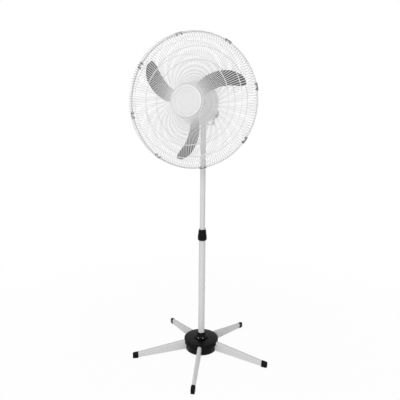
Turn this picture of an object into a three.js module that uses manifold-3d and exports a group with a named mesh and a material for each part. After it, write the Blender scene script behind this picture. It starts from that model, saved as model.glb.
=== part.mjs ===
// Pedestal fan: a five-legged stand, a two-part column, and an oscillating, tilting fan head.
//
// Units are millimetres and +Z is up. The fan blows towards -Y. The pieces are drawn about the column's axis,
// with the floor at z = 0, and the finished group is then moved so that its origin is the floor point under
// the middle of the fan's outer box.

import * as THREE from 'three';
import { mergeVertices } from 'three/addons/utils/BufferGeometryUtils.js';
import Module from 'manifold-3d';

const wasm = await Module();
wasm.setup();

// ---------------------------------------------------------------- fits
const seatGap = 0.3; // between two pieces that touch
const runGap = 0.3; // between a turning or sliding piece and its guide
const rotorGap = 0.5; // air gap of the motor

// ---------------------------------------------------------------- base
const legCount = 5;
const frontLegAngle = -78.35; // degrees from +X, seen from above
const footReach = 346; // column axis to the outer end of a foot cap
const capLength = 27;
const capHeight = 29;
const capWidth = 20.5;
const capPocket = 12; // how far a leg reaches into its cap
const legInner = 26; // column axis to a leg's inner end
const legRootWidth = 19;
const legTipWidth = 15.2;
const legTopAtHub = 69.5;
const legTopAtFoot = 26.5;
const legBottomAtHub = 22.6;
const legBottomAtFoot = 1.4;
const drumRadius = 80;
const drumBottom = 18;
const drumWall = 3;
const drumFloor = 4;
const bossWall = 5;
const lidRadius = 86;
const lidSkirtBottom = 53;
const lidSkirtWall = 2.6;
const lidEdgeThickness = 4.5;
const lidRise = 3; // how much the lid climbs from its edge to the socket
const socketFlangeRadius = 35;
const socketFlangeThickness = 6;
const socketTopRadius = 21.4;
const socketTop = 105;
const socketScrewPitch = 30.6; // column axis to a socket screw
const socketScrewSpread = 20; // degrees either side of the front leg
const socketScrewShank = 1.6;
const socketScrewHead = 3.2;
const socketScrewHeadHeight = 2;

// ---------------------------------------------------------------- column
const lowerTubeRadius = 15.9;
const lowerTubeWall = 1.5;
const lowerTubeTop = 612;
const upperTubeRadius = 12.7;
const upperTubeWall = 1.2;
const upperTubeBottom = 524;
const glideLength = 12;
const glideSpigot = 20;
const collarBottom = 586;
const collarTop = 642;
const collarBottomRadius = 19.5;
const collarWideRadius = 22.4;
const collarTopRadius = 17.4;
const collarWideHeight = 6; // from the collar's bottom to its widest ring
const collarMouthWall = 1.4;
const bushSleeve = 42; // how far the bush reaches down into the lower tube
const bushLip = 3.6; // height of the bush's lip above the collar

// ---------------------------------------------------------------- neck
const tiltHeight = 1180;
const yokeBottom = 1137;
const yokeHalfWidth = 50;
const yokeThickness = 4;
const earRadius = 16;
const yokeBossRadius = 18;
const yokeBossTop = 1152;
const upperTubeTop = 1150;
const tiltBoltRadius = 4;
const tiltBoltReach = 20; // column axis to the bolt's inner end
const blockHalfDepth = 13;
const blockBelow = 14; // from the tilt axis to the block's underside
const blockAbove = 9;
const oscillationPinRadius = 8;
const pinFlangeRadius = 11;
const pinBelow = 20; // from the tilt axis to the pin's lower end
const retainerRadius = 12;
const retainerThickness = 4.4;
const knobRadius = 12;
const knobLength = 14;
const knobStemRadius = 8;
const knobStemLength = 4;
const leverReach = 27; // tilt axis to the lever's tip
const leverHalfWidth = 6;
const leverThickness = 6;
const leverLean = 11; // how far the tip leans back towards the yoke

// ---------------------------------------------------------------- fan head
const axisHeight = 1230; // fan axis above the floor
const rimOffset = 172; // column axis to the plane where the two guards meet
const guardRadius = 280;
const rimWire = 5;
const ringWire = 4;
const spokeWire = 2.5; // width of a spoke's square section
const spokeCount = 16;
const rimSides = 2 * spokeCount;
const turnedSides = 24;
const ringRadii = [177, 229];
const frontGuardDepth = 69;
const rearGuardDepth = 46;
const badgeRadius = 66;
const badgeDepth = 64; // rim plane to the badge's front face
const badgeThickness = 9;
const badgeStepRadius = 48;
const badgeStep = 1.2;
const guardSeatWidth = 14; // flat ring of the rear guard, on the motor's front plate
const guardSeatMargin = 3; // from the seat's outer edge to the edge of that plate
const guardSeatThickness = 3;
const clipCount = 8;
const clipPhase = 101.3; // degrees from +X, seen from the front
const clipLength = 29;
const clipWall = 2.6;
const clipReach = 7.5; // how far a clip's cheeks reach in from the rim's outside

// ---------------------------------------------------------------- propeller
const bladeCount = 3;
const bladeTipRadius = 246;
const bladeTipAngle = 18; // degrees from +X, seen from the front, of the first tip
const bladeSweep = 29; // degrees between a blade's root and its tip
const bladeRootChord = 44;
const bladeExtraChord = 20;
const bladeThickness = 2.4;
const bladePlane = 16; // rim plane to the blades' middle
const bladeRootPitch = 38;
const bladeTipPitch = 23;
const bladeStations = 9;
const propellerHubRadius = 62;
const propellerHubFront = 40; // rim plane to the hub's front face
const propellerHubRear = 0;
const propellerHubWall = 3;
const propellerBossRadius = 13;
const propellerNutRadius = 14;
const propellerNutLength = 9;

// ---------------------------------------------------------------- motor
const motorRadius = 93;
const motorWall = 3;
const frontPlateFront = -114; // along Y
const frontPlateThickness = 4;
const rearPlateFront = -70;
const rearPlateThickness = 4;
const motorEdge = 7; // round at the housing's rear edge
const shaftRadius = 5;
const shaftRear = 40;
const wormRadius = 6.5;
const wormLength = 26;
const bearingRadius = 12;
const bearingLength = 12;
const bearingBossWall = 6;
const statorMargin = 27.3; // from the stator to the outside of the motor
const statorRadius = motorRadius - statorMargin;
const statorInner = 33;
const statorFront = -104;
const statorLength = 28;
const spigotWall = 4;
const spigotLength = 14;

// ---------------------------------------------------------------- gearbox and hood
const gearboxBottom = 1203;
const gearboxTop = 1250;
const gearboxLeft = -28;
const gearboxRight = 35;
const gearboxFront = -48;
const gearboxRear = 56;
const gearboxWall = 3.5;
const gearboxLidThickness = 3.7;
const gearboxNeckWall = 7;
const wormWheelRadius = 11;
const wormWheelThickness = 12;
const wormWheelY = 26;
const pinionRadius = 4.7;
const crankGearRadius = 15;
const crankGearThickness = 5;
const crankGearBottom = 1208;
const crankDiscRadius = 18;
const crankDiscThickness = 4;
const crankThrow = 14;
const crankPinRadius = 3;
const crankShaftRadius = 4;
const linkStudOffset = 22; // column axis to the link's fixed stud, towards -X
const linkStudRadius = 3.5;
const linkHalfWidth = 5.5;
const linkThickness = 3.2;
const clutchStemRadius = 3;
const clutchKnobRadius = 8;
const clutchKnobBottom = 1280;
const clutchKnobHeight = 18;
const hoodRadius = 50;
const hoodWall = 2.5;
const hoodRear = 84;
const hoodRearRadius = 34;
const hoodShoulderRadius = 44;
const hoodShoulder = 70;
const hoodTaper = 20; // where the hood starts to narrow, along Y
const hoodCut = 1213; // height of the hood's open underside
const switchHalf = 10;
const switchLength = 22;
const speedKnobHeight = 1237;
const speedKnobRadius = 13;
const speedKnobLength = 13;
const speedStemRadius = 3;
const cordBushX = -20;
const cordBushHeight = 1221;
const cordBushRadius = 5.2;
const cordBushFlange = 7;
const cordBushBore = 3.2;
const capacitorThickness = 12;
const capacitorHalfLength = 20;
const capacitorBottom = 1216;
const capacitorHeight = 24;

// ---------------------------------------------------------------- materials
function paint(color, roughness, metalness = 0) {
  return new THREE.MeshStandardMaterial({ color, roughness, metalness });
}

const whitePaint = paint(0xd3d4d4, 0.4);
const wirePaint = paint(0xd9dad9, 0.4, 0.1);
const blackPlastic = paint(0x1b1b1c, 0.25);
const clipPlastic = paint(0x6d6f70, 0.45);
const bladePlastic = paint(0x8f9192, 0.45);
const whitePlastic = paint(0xe6e7e6, 0.35);
const motorPaint = paint(0xc6c8c8, 0.42);
const castAlloy = paint(0xa7a9ab, 0.5, 0.8);
const steel = paint(0xb4b6b8, 0.3, 1);
const lamination = paint(0x55585b, 0.55, 0.8);
const brass = paint(0xb08d4a, 0.35, 1);

// ---------------------------------------------------------------- solids
const radians = THREE.MathUtils.degToRad;

// Merged, closed triangles whose faces point out.
function closed(geometry) {
  const bare = geometry.clone();
  bare.deleteAttribute('normal');
  bare.deleteAttribute('uv');
  bare.clearGroups();
  const merged = mergeVertices(bare, 1e-4);
  const position = merged.attributes.position;
  const index = Array.from(merged.index.array);
  const corner = [new THREE.Vector3(), new THREE.Vector3(), new THREE.Vector3()];
  const kept = [];
  let volume = 0;
  for (let i = 0; i < index.length; i += 3) {
    const [a, b, c] = index.slice(i, i + 3);
    if (a === b || b === c || c === a) continue;
    kept.push(a, b, c);
    corner.forEach((point, k) => point.fromBufferAttribute(position, index[i + k]));
    volume += corner[0].dot(corner[1].clone().cross(corner[2]));
  }
  merged.setIndex(volume < 0 ? kept.reverse() : kept);
  return merged;
}

function toManifold(geometry) {
  const merged = closed(geometry);
  return new wasm.Manifold(new wasm.Mesh({
    numProp: 3,
    vertProperties: new Float32Array(merged.attributes.position.array),
    triVerts: new Uint32Array(merged.index.array),
  }));
}

function fromManifold(solid) {
  const mesh = solid.getMesh();
  const geometry = new THREE.BufferGeometry();
  geometry.setAttribute('position', new THREE.BufferAttribute(mesh.vertProperties, 3));
  geometry.setIndex(new THREE.BufferAttribute(mesh.triVerts, 1));
  return geometry;
}

function join(geometries) {
  return fromManifold(geometries.map(toManifold).reduce((whole, next) => whole.add(next)));
}

function cut(geometry, cutters) {
  return fromManifold(cutters.map(toManifold).reduce((whole, next) => whole.subtract(next), toManifold(geometry)));
}

function box(x0, x1, y0, y1, z0, z1) {
  const geometry = new THREE.BoxGeometry(x1 - x0, y1 - y0, z1 - z0);
  return geometry.translate((x0 + x1) / 2, (y0 + y1) / 2, (z0 + z1) / 2);
}

// A solid of revolution from [radius, height] pairs; a profile off the axis is closed into a ring.
function turned(profile, sides) {
  const points = profile.map(([r, h]) => new THREE.Vector2(r, h));
  const onAxis = profile[0][0] === 0 && profile.at(-1)[0] === 0;
  if (!onAxis) points.push(points[0].clone());
  return new THREE.LatheGeometry(points, sides);
}

// Turned about the vertical line through (x, y); heights are z.
function upright(profile, sides = turnedSides, x = 0, y = 0) {
  return turned(profile, sides).rotateX(Math.PI / 2).translate(x, y, 0);
}

// Turned about the fan's axis; heights are y.
function aroundFan(profile, sides = turnedSides) {
  return turned(profile, sides).translate(0, 0, axisHeight);
}

// Turned about a line along X through (y, z); heights are x.
function sideways(profile, sides = 16, y = 0, z = tiltHeight) {
  return turned(profile, sides).rotateZ(-Math.PI / 2).translate(0, y, z);
}

function disc(radius, from, to) {
  return [[0, from], [radius, from], [radius, to], [0, to]];
}

function ring(inner, outer, from, to) {
  return [[inner, from], [outer, from], [outer, to], [inner, to]];
}

// A solid through a row of loops that all have the same number of points; its two end loops are flat and convex.
function loft(loops) {
  const size = loops[0].length;
  const position = loops.flat().flatMap((point) => point.toArray());
  const index = [];
  for (let row = 0; row + 1 < loops.length; row += 1) {
    for (let i = 0; i < size; i += 1) {
      const a = row * size + i;
      const b = row * size + ((i + 1) % size);
      index.push(a, b, b + size, a, b + size, a + size);
    }
  }
  const last = (loops.length - 1) * size;
  for (let i = 1; i + 1 < size; i += 1) {
    index.push(0, i + 1, i);
    index.push(last, last + i, last + i + 1);
  }
  const geometry = new THREE.BufferGeometry();
  geometry.setAttribute('position', new THREE.Float32BufferAttribute(position, 3));
  geometry.setIndex(index);
  return geometry;
}

const fan = new THREE.Group();

function add(name, geometry, material, parent = fan) {
  const mesh = new THREE.Mesh(closed(geometry), material);
  mesh.name = name;
  parent.add(mesh);
  return mesh;
}

// ---------------------------------------------------------------- legs and feet
const legOuter = footReach - capLength + capPocket;
const legStraight = legOuter - lidRadius;

function legWidth(r) {
  return THREE.MathUtils.mapLinear(r, legInner, legOuter, legRootWidth, legTipWidth);
}

// Cross-section of a leg at radius r, grown by a clearance: flat below, with rounded shoulders above.
function legLoop(r, bottom, top, grow = 0) {
  const half = legWidth(r) / 2 + grow;
  const shoulder = legWidth(r) / 4;
  const low = bottom - grow;
  const high = top + grow;
  return [
    [-half, low], [half, low], [half, high - shoulder], [half - shoulder, high],
    [shoulder - half, high], [-half, high - shoulder],
  ].map(([side, z]) => new THREE.Vector3(r, side, z));
}

function legShape(grow = 0) {
  return loft([
    legLoop(legInner - grow, legBottomAtHub, legTopAtHub, grow),
    legLoop(lidRadius, legBottomAtHub, legTopAtHub, grow),
    legLoop(lidRadius + legStraight + grow, legBottomAtFoot, legTopAtFoot, grow),
  ]);
}

function capShape() {
  const inner = footReach - capLength;
  const loop = (r, narrow, low, high) => {
    const half = capWidth / 2 - narrow;
    const shoulder = capWidth / 4;
    return [
      [-half, low], [half, low], [half, high - shoulder], [half - shoulder, high],
      [shoulder - half, high], [-half, high - shoulder],
    ].map(([side, z]) => new THREE.Vector3(r, side, z));
  };
  const whole = loft([loop(inner, 0, 0, capHeight), loop(footReach - 4, 0, 0, capHeight - 2),
    loop(footReach, 2, 0, capHeight - 5)]);
  return cut(whole, [legShape(seatGap)]);
}

const legAngles = Array.from({ length: legCount }, (_, i) => radians(frontLegAngle + (360 / legCount) * i));

legAngles.forEach((angle, i) => {
  add(`leg_${i + 1}`, legShape().rotateZ(angle), whitePaint);
  add(`foot_cap_${i + 1}`, capShape().rotateZ(angle), blackPlastic);
});

// ---------------------------------------------------------------- hub
const tubeSeat = lowerTubeRadius + seatGap;
const drumInside = drumBottom + drumFloor;
const lidUnderside = legTopAtHub + seatGap;
const lidEdgeTop = lidUnderside + lidEdgeThickness;
const socketSeat = lidEdgeTop + lidRise;

function hubDrum() {
  const cup = upright([
    [tubeSeat, drumBottom], [drumRadius - 4, drumBottom], [drumRadius, drumBottom + 4],
    [drumRadius, lidUnderside - seatGap], [drumRadius - drumWall, lidUnderside - seatGap],
    [drumRadius - drumWall, drumInside], [tubeSeat + bossWall, drumInside],
    [tubeSeat + bossWall, lidUnderside - seatGap], [tubeSeat, lidUnderside - seatGap],
  ]);
  return cut(cup, legAngles.map((angle) => legSlot(drumInside + seatGap).rotateZ(angle)));
}

// The straight channel that a leg needs through the hub's walls.
function legSlot(bottom) {
  const half = legRootWidth / 2 + seatGap;
  return box(legInner + 10, lidRadius + 10, -half, half, bottom, lidUnderside);
}

function hubLid() {
  const inner = lidRadius - lidSkirtWall;
  const shell = upright([
    [tubeSeat, lidUnderside], [inner, lidUnderside], [inner, lidSkirtBottom], [lidRadius, lidSkirtBottom],
    [lidRadius, lidEdgeTop - 2], [lidRadius - 2, lidEdgeTop], [socketFlangeRadius + 4, socketSeat],
    [tubeSeat, socketSeat],
  ]);
  const slots = legAngles.map((angle) => legSlot(lidSkirtBottom - 1).rotateZ(angle));
  return cut(shell, [...slots, ...screwHoles()]);
}

const screwAngles = [-1, 1].map((side) => radians(frontLegAngle + side * socketScrewSpread));

function screwHoles() {
  return screwAngles.map((angle) => upright(
    disc(socketScrewShank + seatGap, lidUnderside - 5, socketTop),
    12, socketScrewPitch * Math.cos(angle), socketScrewPitch * Math.sin(angle),
  ));
}

function columnSocket() {
  const base = socketSeat + seatGap;
  const flare = new THREE.QuadraticBezierCurve(
    new THREE.Vector2(socketFlangeRadius - 8, base + socketFlangeThickness),
    new THREE.Vector2(socketTopRadius + 1.2, base + socketFlangeThickness + 9),
    new THREE.Vector2(socketTopRadius, socketTop),
  );
  const body = upright([
    [tubeSeat, base], [socketFlangeRadius, base], [socketFlangeRadius, base + socketFlangeThickness],
    ...flare.getPoints(4).map((point) => point.toArray()), [tubeSeat, socketTop],
  ]);
  return cut(body, screwHoles());
}

function socketScrew(angle) {
  const seat = socketSeat + socketFlangeThickness + 2 * seatGap;
  return upright([
    [0, lidUnderside - 3], [socketScrewShank, lidUnderside - 3], [socketScrewShank, seat],
    [socketScrewHead, seat], [socketScrewHead - 1, seat + socketScrewHeadHeight], [0, seat + socketScrewHeadHeight],
  ], 12, socketScrewPitch * Math.cos(angle), socketScrewPitch * Math.sin(angle));
}

add('hub_drum', hubDrum(), blackPlastic);
add('hub_lid', hubLid(), blackPlastic);
add('column_socket', columnSocket(), blackPlastic);
screwAngles.forEach((angle, i) => add(`socket_screw_${i + 1}`, socketScrew(angle), steel));

// ---------------------------------------------------------------- column
const lowerBore = lowerTubeRadius - lowerTubeWall;
const lowerTubeBottom = drumBottom + 6;

add('lower_tube', upright(ring(lowerBore, lowerTubeRadius, lowerTubeBottom, lowerTubeTop)), whitePaint);
add('upper_tube', upright(ring(upperTubeRadius - upperTubeWall, upperTubeRadius, upperTubeBottom, upperTubeTop)),
  whitePaint);

function tubeGlide() {
  const spigot = upperTubeRadius - upperTubeWall - seatGap;
  const shoulder = upperTubeBottom - seatGap;
  return upright([
    [0, shoulder - glideLength], [lowerBore - runGap, shoulder - glideLength], [lowerBore - runGap, shoulder],
    [spigot, shoulder], [spigot, upperTubeBottom + glideSpigot], [0, upperTubeBottom + glideSpigot],
  ]);
}

// A thin sleeve between the two tubes, with a shoulder on the lower tube's end and a lip above the collar.
function collarBush() {
  const bore = upperTubeRadius + runGap;
  const sleeve = lowerBore - seatGap;
  const shoulder = lowerTubeTop + seatGap;
  const waist = collarTopRadius - collarMouthWall - runGap;
  return upright([
    [bore, lowerTubeTop - bushSleeve], [sleeve, lowerTubeTop - bushSleeve], [sleeve, shoulder],
    [waist, shoulder], [waist, collarTop + runGap], [collarTopRadius, collarTop + runGap],
    [collarTopRadius - 0.8, collarTop + runGap + bushLip], [bore, collarTop + runGap + bushLip],
  ]);
}

function heightCollar() {
  const skirtBore = lowerTubeRadius + runGap;
  const mouthBore = collarTopRadius - collarMouthWall;
  return upright([
    [skirtBore, collarBottom], [collarBottomRadius, collarBottom],
    [collarWideRadius, collarBottom + collarWideHeight - 2], [collarWideRadius, collarBottom + collarWideHeight + 3],
    [collarTopRadius + 1.5, collarTop - 8], [collarTopRadius, collarTop], [mouthBore, collarTop],
    [mouthBore, lowerTubeTop + 2], [skirtBore, lowerTubeTop + 2],
  ]);
}

add('tube_glide', tubeGlide(), blackPlastic);
add('collar_bush', collarBush(), whitePlastic);
add('height_collar', heightCollar(), blackPlastic);

// ---------------------------------------------------------------- neck
const earInside = yokeHalfWidth - yokeThickness;
const blockHalfWidth = earInside - seatGap;
const blockTop = tiltHeight + blockAbove;

function yokeEar(side) {
  const outline = new THREE.Shape();
  outline.moveTo(-earRadius, yokeBottom);
  outline.lineTo(earRadius, yokeBottom);
  outline.absarc(0, tiltHeight, earRadius, 0, Math.PI, false);
  outline.closePath();
  const plate = new THREE.ExtrudeGeometry(outline, { depth: yokeThickness, bevelEnabled: false, curveSegments: 8 });
  // The outline's x becomes y and its y becomes z, and the plate's thickness runs along X.
  plate.rotateX(Math.PI / 2).rotateZ(Math.PI / 2);
  return plate.translate(side > 0 ? earInside : -yokeHalfWidth, 0, 0);
}

function neckYoke() {
  const floor = box(-yokeHalfWidth, yokeHalfWidth, -earRadius, earRadius, yokeBottom, yokeBottom + yokeThickness);
  const boss = upright(disc(yokeBossRadius, yokeBottom + 1, yokeBossTop));
  const body = join([floor, yokeEar(1), yokeEar(-1), boss]);
  const tubeHole = upright(disc(upperTubeRadius + seatGap, yokeBottom - 1, yokeBossTop + 1));
  const pivotHole = sideways(disc(tiltBoltRadius + runGap, -yokeHalfWidth - 1, yokeHalfWidth + 1));
  return cut(body, [tubeHole, pivotHole]);
}

// The block that tilts between the ears, with a stud on top for the oscillation link.
function tiltBlock() {
  const body = box(-blockHalfWidth, blockHalfWidth, -blockHalfDepth, blockHalfDepth, tiltHeight - blockBelow, blockTop);
  const stud = upright(disc(linkStudRadius, blockTop - 1, blockTop + linkThickness + 2 * runGap), 16, -linkStudOffset);
  const bore = upright(disc(oscillationPinRadius + runGap, tiltHeight - blockBelow - 1, blockTop + 1));
  const holes = [[-blockHalfWidth - 1, -tiltBoltReach + 1], [tiltBoltReach - 1, blockHalfWidth + 1]].map(
    ([from, to]) => sideways(disc(tiltBoltRadius + seatGap, from, to)),
  );
  return cut(join([body, stud]), [bore, ...holes]);
}

function oscillationPin() {
  const flangeTop = gearboxBottom - seatGap;
  return upright([
    [0, tiltHeight - pinBelow], [oscillationPinRadius, tiltHeight - pinBelow],
    [oscillationPinRadius, blockTop + runGap], [pinFlangeRadius, blockTop + runGap],
    [pinFlangeRadius, flangeTop], [0, flangeTop],
  ]);
}

const retainerTop = tiltHeight - blockBelow - runGap;

add('neck_yoke', neckYoke(), motorPaint);
add('tilt_block', tiltBlock(), castAlloy);
add('tilt_pin', sideways([
  [0, -yokeHalfWidth - 4], [7, -yokeHalfWidth - 4], [7, -yokeHalfWidth - seatGap],
  [tiltBoltRadius, -yokeHalfWidth - seatGap], [tiltBoltRadius, -tiltBoltReach], [0, -tiltBoltReach],
]), steel);
add('oscillation_pin', oscillationPin(), steel);
add('pin_retainer', upright(
  ring(oscillationPinRadius + seatGap, retainerRadius, retainerTop - retainerThickness, retainerTop),
), steel);

// ---------------------------------------------------------------- tilt knob
const knobStart = yokeHalfWidth + seatGap;
const knobBody = knobStart + knobStemLength;
const knobEnd = knobBody + knobLength;
const boltPocket = 10;

function tiltKnob() {
  const body = sideways([
    [0, knobStart], [knobStemRadius, knobStart], [knobStemRadius, knobBody], [knobRadius, knobBody],
    [knobRadius, knobEnd - 2], [knobRadius - 2, knobEnd], [0, knobEnd],
  ]);
  const lever = loft([[knobEnd - 5, 0], [knobEnd, knobRadius - 4], [knobEnd - leverLean, leverReach]].map(
    ([x, rise]) => [
      [x, -leverHalfWidth], [x + leverThickness, -leverHalfWidth],
      [x + leverThickness, leverHalfWidth], [x, leverHalfWidth],
    ].map(([across, y]) => new THREE.Vector3(across, y, tiltHeight + rise)),
  ));
  const socket = sideways(disc(tiltBoltRadius + seatGap, knobStart - 1, knobStart + boltPocket));
  return cut(join([body, lever]), [socket]);
}

add('tilt_bolt', sideways(disc(tiltBoltRadius, tiltBoltReach, knobStart + boltPocket - seatGap)), steel);
add('tilt_knob', tiltKnob(), blackPlastic);

// ---------------------------------------------------------------- guards
// Depths along the fan's axis count forward from the plane where the guards meet.
function depth(d) {
  return -rimOffset - d;
}

function wireRing(radius, d, wire, sides = spokeCount) {
  const torus = new THREE.TorusGeometry(radius, wire / 2, 4, sides);
  return torus.rotateX(Math.PI / 2).translate(0, depth(d), axisHeight);
}

// Wires from the rim to the centre. The route gives each bend's radius and depth, and every wire is a turned
// copy of the first.
function spokes(route) {
  const bends = route.map(([r, d]) => new THREE.Vector3(r, -d, 0));
  const across = new THREE.Vector3(0, 0, spokeWire / 2);
  const wire = loft(bends.map((bend, i) => {
    const before = bends[Math.max(i - 1, 0)];
    const after = bends[Math.min(i + 1, bends.length - 1)];
    const along = after.clone().sub(before).normalize();
    const outward = along.clone().cross(across);
    const corners = [[1, 1], [1, -1], [-1, -1], [-1, 1]];
    return corners.map(([a, b]) => bend.clone().addScaledVector(across, a).addScaledVector(outward, b));
  }));
  return Array.from({ length: spokeCount }, (_, i) => wire.clone()
    .rotateY((i * 2 * Math.PI) / spokeCount).translate(0, -rimOffset, axisHeight));
}

const rimRadius = guardRadius - rimWire / 2;
const rimGap = rimWire / 2 + seatGap;
const centreRing = badgeRadius + seatGap + ringWire / 2;

function frontGuard() {
  const route = [
    [rimRadius, rimGap], [guardRadius - 6, frontGuardDepth * 0.5], [guardRadius - 24, frontGuardDepth * 0.84],
    [ringRadii[1], frontGuardDepth - 2], [ringRadii[0], frontGuardDepth], [centreRing, badgeDepth - 2],
  ];
  return join([
    wireRing(rimRadius, rimGap, rimWire, rimSides),
    wireRing(centreRing, badgeDepth - 2, ringWire, rimSides),
    wireRing(ringRadii[0], frontGuardDepth, ringWire),
    wireRing(ringRadii[1], frontGuardDepth - 2, ringWire),
    ...spokes(route),
  ]);
}

const guardSeatOuter = motorRadius - guardSeatMargin;
const guardSeatInner = guardSeatOuter - guardSeatWidth;
const seatFront = frontPlateFront - seatGap - guardSeatThickness;
const seatDepth = seatFront + rimOffset + guardSeatThickness / 2;

function rearGuard() {
  const seat = aroundFan(ring(guardSeatInner, guardSeatOuter, seatFront, seatFront + guardSeatThickness));
  const route = [
    [rimRadius, -rimGap], [guardRadius - 10, -rearGuardDepth * 0.55], [guardRadius - 36, -rearGuardDepth + 3],
    [ringRadii[0], -rearGuardDepth], [guardSeatOuter - 4, -seatDepth],
  ];
  return join([
    seat,
    wireRing(rimRadius, -rimGap, rimWire, rimSides),
    wireRing(ringRadii[0], -rearGuardDepth, ringWire),
    wireRing(ringRadii[1], -rearGuardDepth + 2, ringWire),
    ...spokes(route),
  ]);
}

// A channel that snaps over both rims from outside.
function guardClip(angle) {
  const inside = guardRadius + seatGap;
  const outside = inside + clipWall;
  const cheek = rimGap + rimWire / 2 + seatGap;
  const half = clipLength / 2;
  const block = box(guardRadius - clipReach, outside, -cheek - clipWall, cheek + clipWall, -half, half);
  const channel = box(guardRadius - clipReach - 1, inside, -cheek, cheek, -half - 1, half + 1);
  return cut(block, [channel]).rotateY(-angle).translate(0, -rimOffset, axisHeight);
}

function badge() {
  const front = depth(badgeDepth);
  const back = front + badgeThickness;
  return aroundFan([
    [0, back], [badgeRadius - 3, back], [badgeRadius, back - 3], [badgeRadius, front + 3], [badgeRadius - 3, front + 1],
    [badgeStepRadius + 1, front], [badgeStepRadius, front + badgeStep], [0, front + badgeStep],
  ], rimSides);
}

add('rear_guard', rearGuard(), wirePaint);
add('front_guard', frontGuard(), wirePaint);
Array.from({ length: clipCount }, (_, i) => add(
  `guard_clip_${i + 1}`, guardClip(radians(clipPhase - (360 / clipCount) * i)), clipPlastic,
));
add('badge', badge(), whitePlastic);

// ---------------------------------------------------------------- propeller
// One station of a blade, s from 0 at the root to 1 at the tip. The blade leans clockwise towards its tip, and
// its clockwise edge lies towards the motor.
function bladeLoop(s, rootRadius) {
  const r = THREE.MathUtils.lerp(rootRadius, bladeTipRadius, s);
  const middle = radians(bladeTipAngle + bladeSweep * (1 - s ** 1.25));
  const taper = s > 0.75 ? Math.sqrt(1 - ((s - 0.75) / 0.25) ** 2) : 1;
  const chord = (bladeRootChord + bladeExtraChord * Math.sin((Math.PI / 2) * Math.min(s / 0.7, 1))) * taper;
  const pitch = radians(THREE.MathUtils.lerp(bladeRootPitch, bladeTipPitch, s));
  const camber = 0.05 * chord;
  const half = bladeThickness / 2;
  const lens = [[-1, 0], [0, -half], [1, 0], [0, half]];
  return lens.map(([across, offset]) => {
    const angle = middle + (across * chord) / 2 / r;
    const lift = bladePlane + ((across * chord) / 2) * Math.tan(pitch) - camber * (1 - across * across);
    return new THREE.Vector3(r * Math.cos(angle), depth(lift + offset), axisHeight + r * Math.sin(angle));
  });
}

function propeller() {
  const front = depth(propellerHubFront);
  const rear = depth(propellerHubRear);
  const inner = propellerHubRadius - propellerHubWall;
  const hub = aroundFan([
    [shaftRadius + seatGap, front], [propellerHubRadius - 5, front], [propellerHubRadius, front + 5],
    [propellerHubRadius, rear], [inner, rear], [inner, front + propellerHubWall + 3],
    [propellerBossRadius, front + propellerHubWall + 3], [propellerBossRadius, rear], [shaftRadius + seatGap, rear],
  ]);
  const rootRadius = inner + 1;
  const blade = loft(Array.from({ length: bladeStations }, (_, i) => bladeLoop((0.985 * i) / (bladeStations - 1),
    rootRadius)));
  const blades = Array.from({ length: bladeCount }, (_, i) => blade.clone()
    .translate(0, 0, -axisHeight).rotateY((-2 * Math.PI * i) / bladeCount).translate(0, 0, axisHeight));
  return join([hub, ...blades]);
}

const nutRear = depth(propellerHubFront) - seatGap;
const shaftFront = nutRear - propellerNutLength + 1;

add('propeller', propeller(), bladePlastic);
add('propeller_nut', aroundFan([
  [0, nutRear - propellerNutLength - 1.5], [propellerNutRadius - 4, nutRear - propellerNutLength - 1.5],
  [propellerNutRadius, nutRear - propellerNutLength + 2], [propellerNutRadius, nutRear],
  [shaftRadius + seatGap, nutRear], [shaftRadius + seatGap, shaftFront - seatGap], [0, shaftFront - seatGap],
]), blackPlastic);

// ---------------------------------------------------------------- motor
const frontPlateRear = frontPlateFront + frontPlateThickness;
const rearPlateRear = rearPlateFront + rearPlateThickness;
const bossRadius = bearingRadius + seatGap + bearingBossWall;
const bearingSeat = bearingRadius + seatGap;
const spigotInner = statorRadius + seatGap;
const spigotOuter = spigotInner + spigotWall;

add('motor_shaft', aroundFan([
  [0, shaftFront], [shaftRadius, shaftFront], [shaftRadius, shaftRear - wormLength],
  [wormRadius, shaftRear - wormLength], [wormRadius, shaftRear], [0, shaftRear],
]), steel);

add('motor_front_plate', aroundFan([
  [bearingSeat, frontPlateFront - 4], [bossRadius, frontPlateFront - 4], [bossRadius, frontPlateFront],
  [motorRadius, frontPlateFront], [motorRadius, frontPlateRear], [spigotOuter, frontPlateRear],
  [spigotOuter, frontPlateRear + spigotLength], [spigotInner, frontPlateRear + spigotLength],
  [spigotInner, frontPlateRear], [bossRadius, frontPlateRear], [bossRadius, frontPlateFront + bearingLength - 2],
  [bearingSeat, frontPlateFront + bearingLength - 2],
]), motorPaint);

add('motor_rear_plate', aroundFan([
  [bearingSeat, rearPlateRear - bearingLength + 4], [bossRadius, rearPlateRear - bearingLength + 4],
  [bossRadius, rearPlateFront], [spigotInner, rearPlateFront], [spigotInner, rearPlateFront - spigotLength],
  [spigotOuter, rearPlateFront - spigotLength], [spigotOuter, rearPlateRear], [bossRadius, rearPlateRear],
  [bossRadius, rearPlateRear + 6], [bearingSeat, rearPlateRear + 6],
]), castAlloy);

add('motor_housing', aroundFan([
  [motorRadius, frontPlateRear + seatGap], [motorRadius, rearPlateRear - motorEdge],
  [motorRadius - 2, rearPlateRear - 2], [motorRadius - motorEdge, rearPlateRear],
  [spigotOuter + seatGap, rearPlateRear], [spigotOuter + seatGap, rearPlateFront],
  [motorRadius - motorEdge - 1, rearPlateFront], [motorRadius - motorWall, rearPlateFront - 4],
  [motorRadius - motorWall, frontPlateRear + seatGap],
]), motorPaint);

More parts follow.
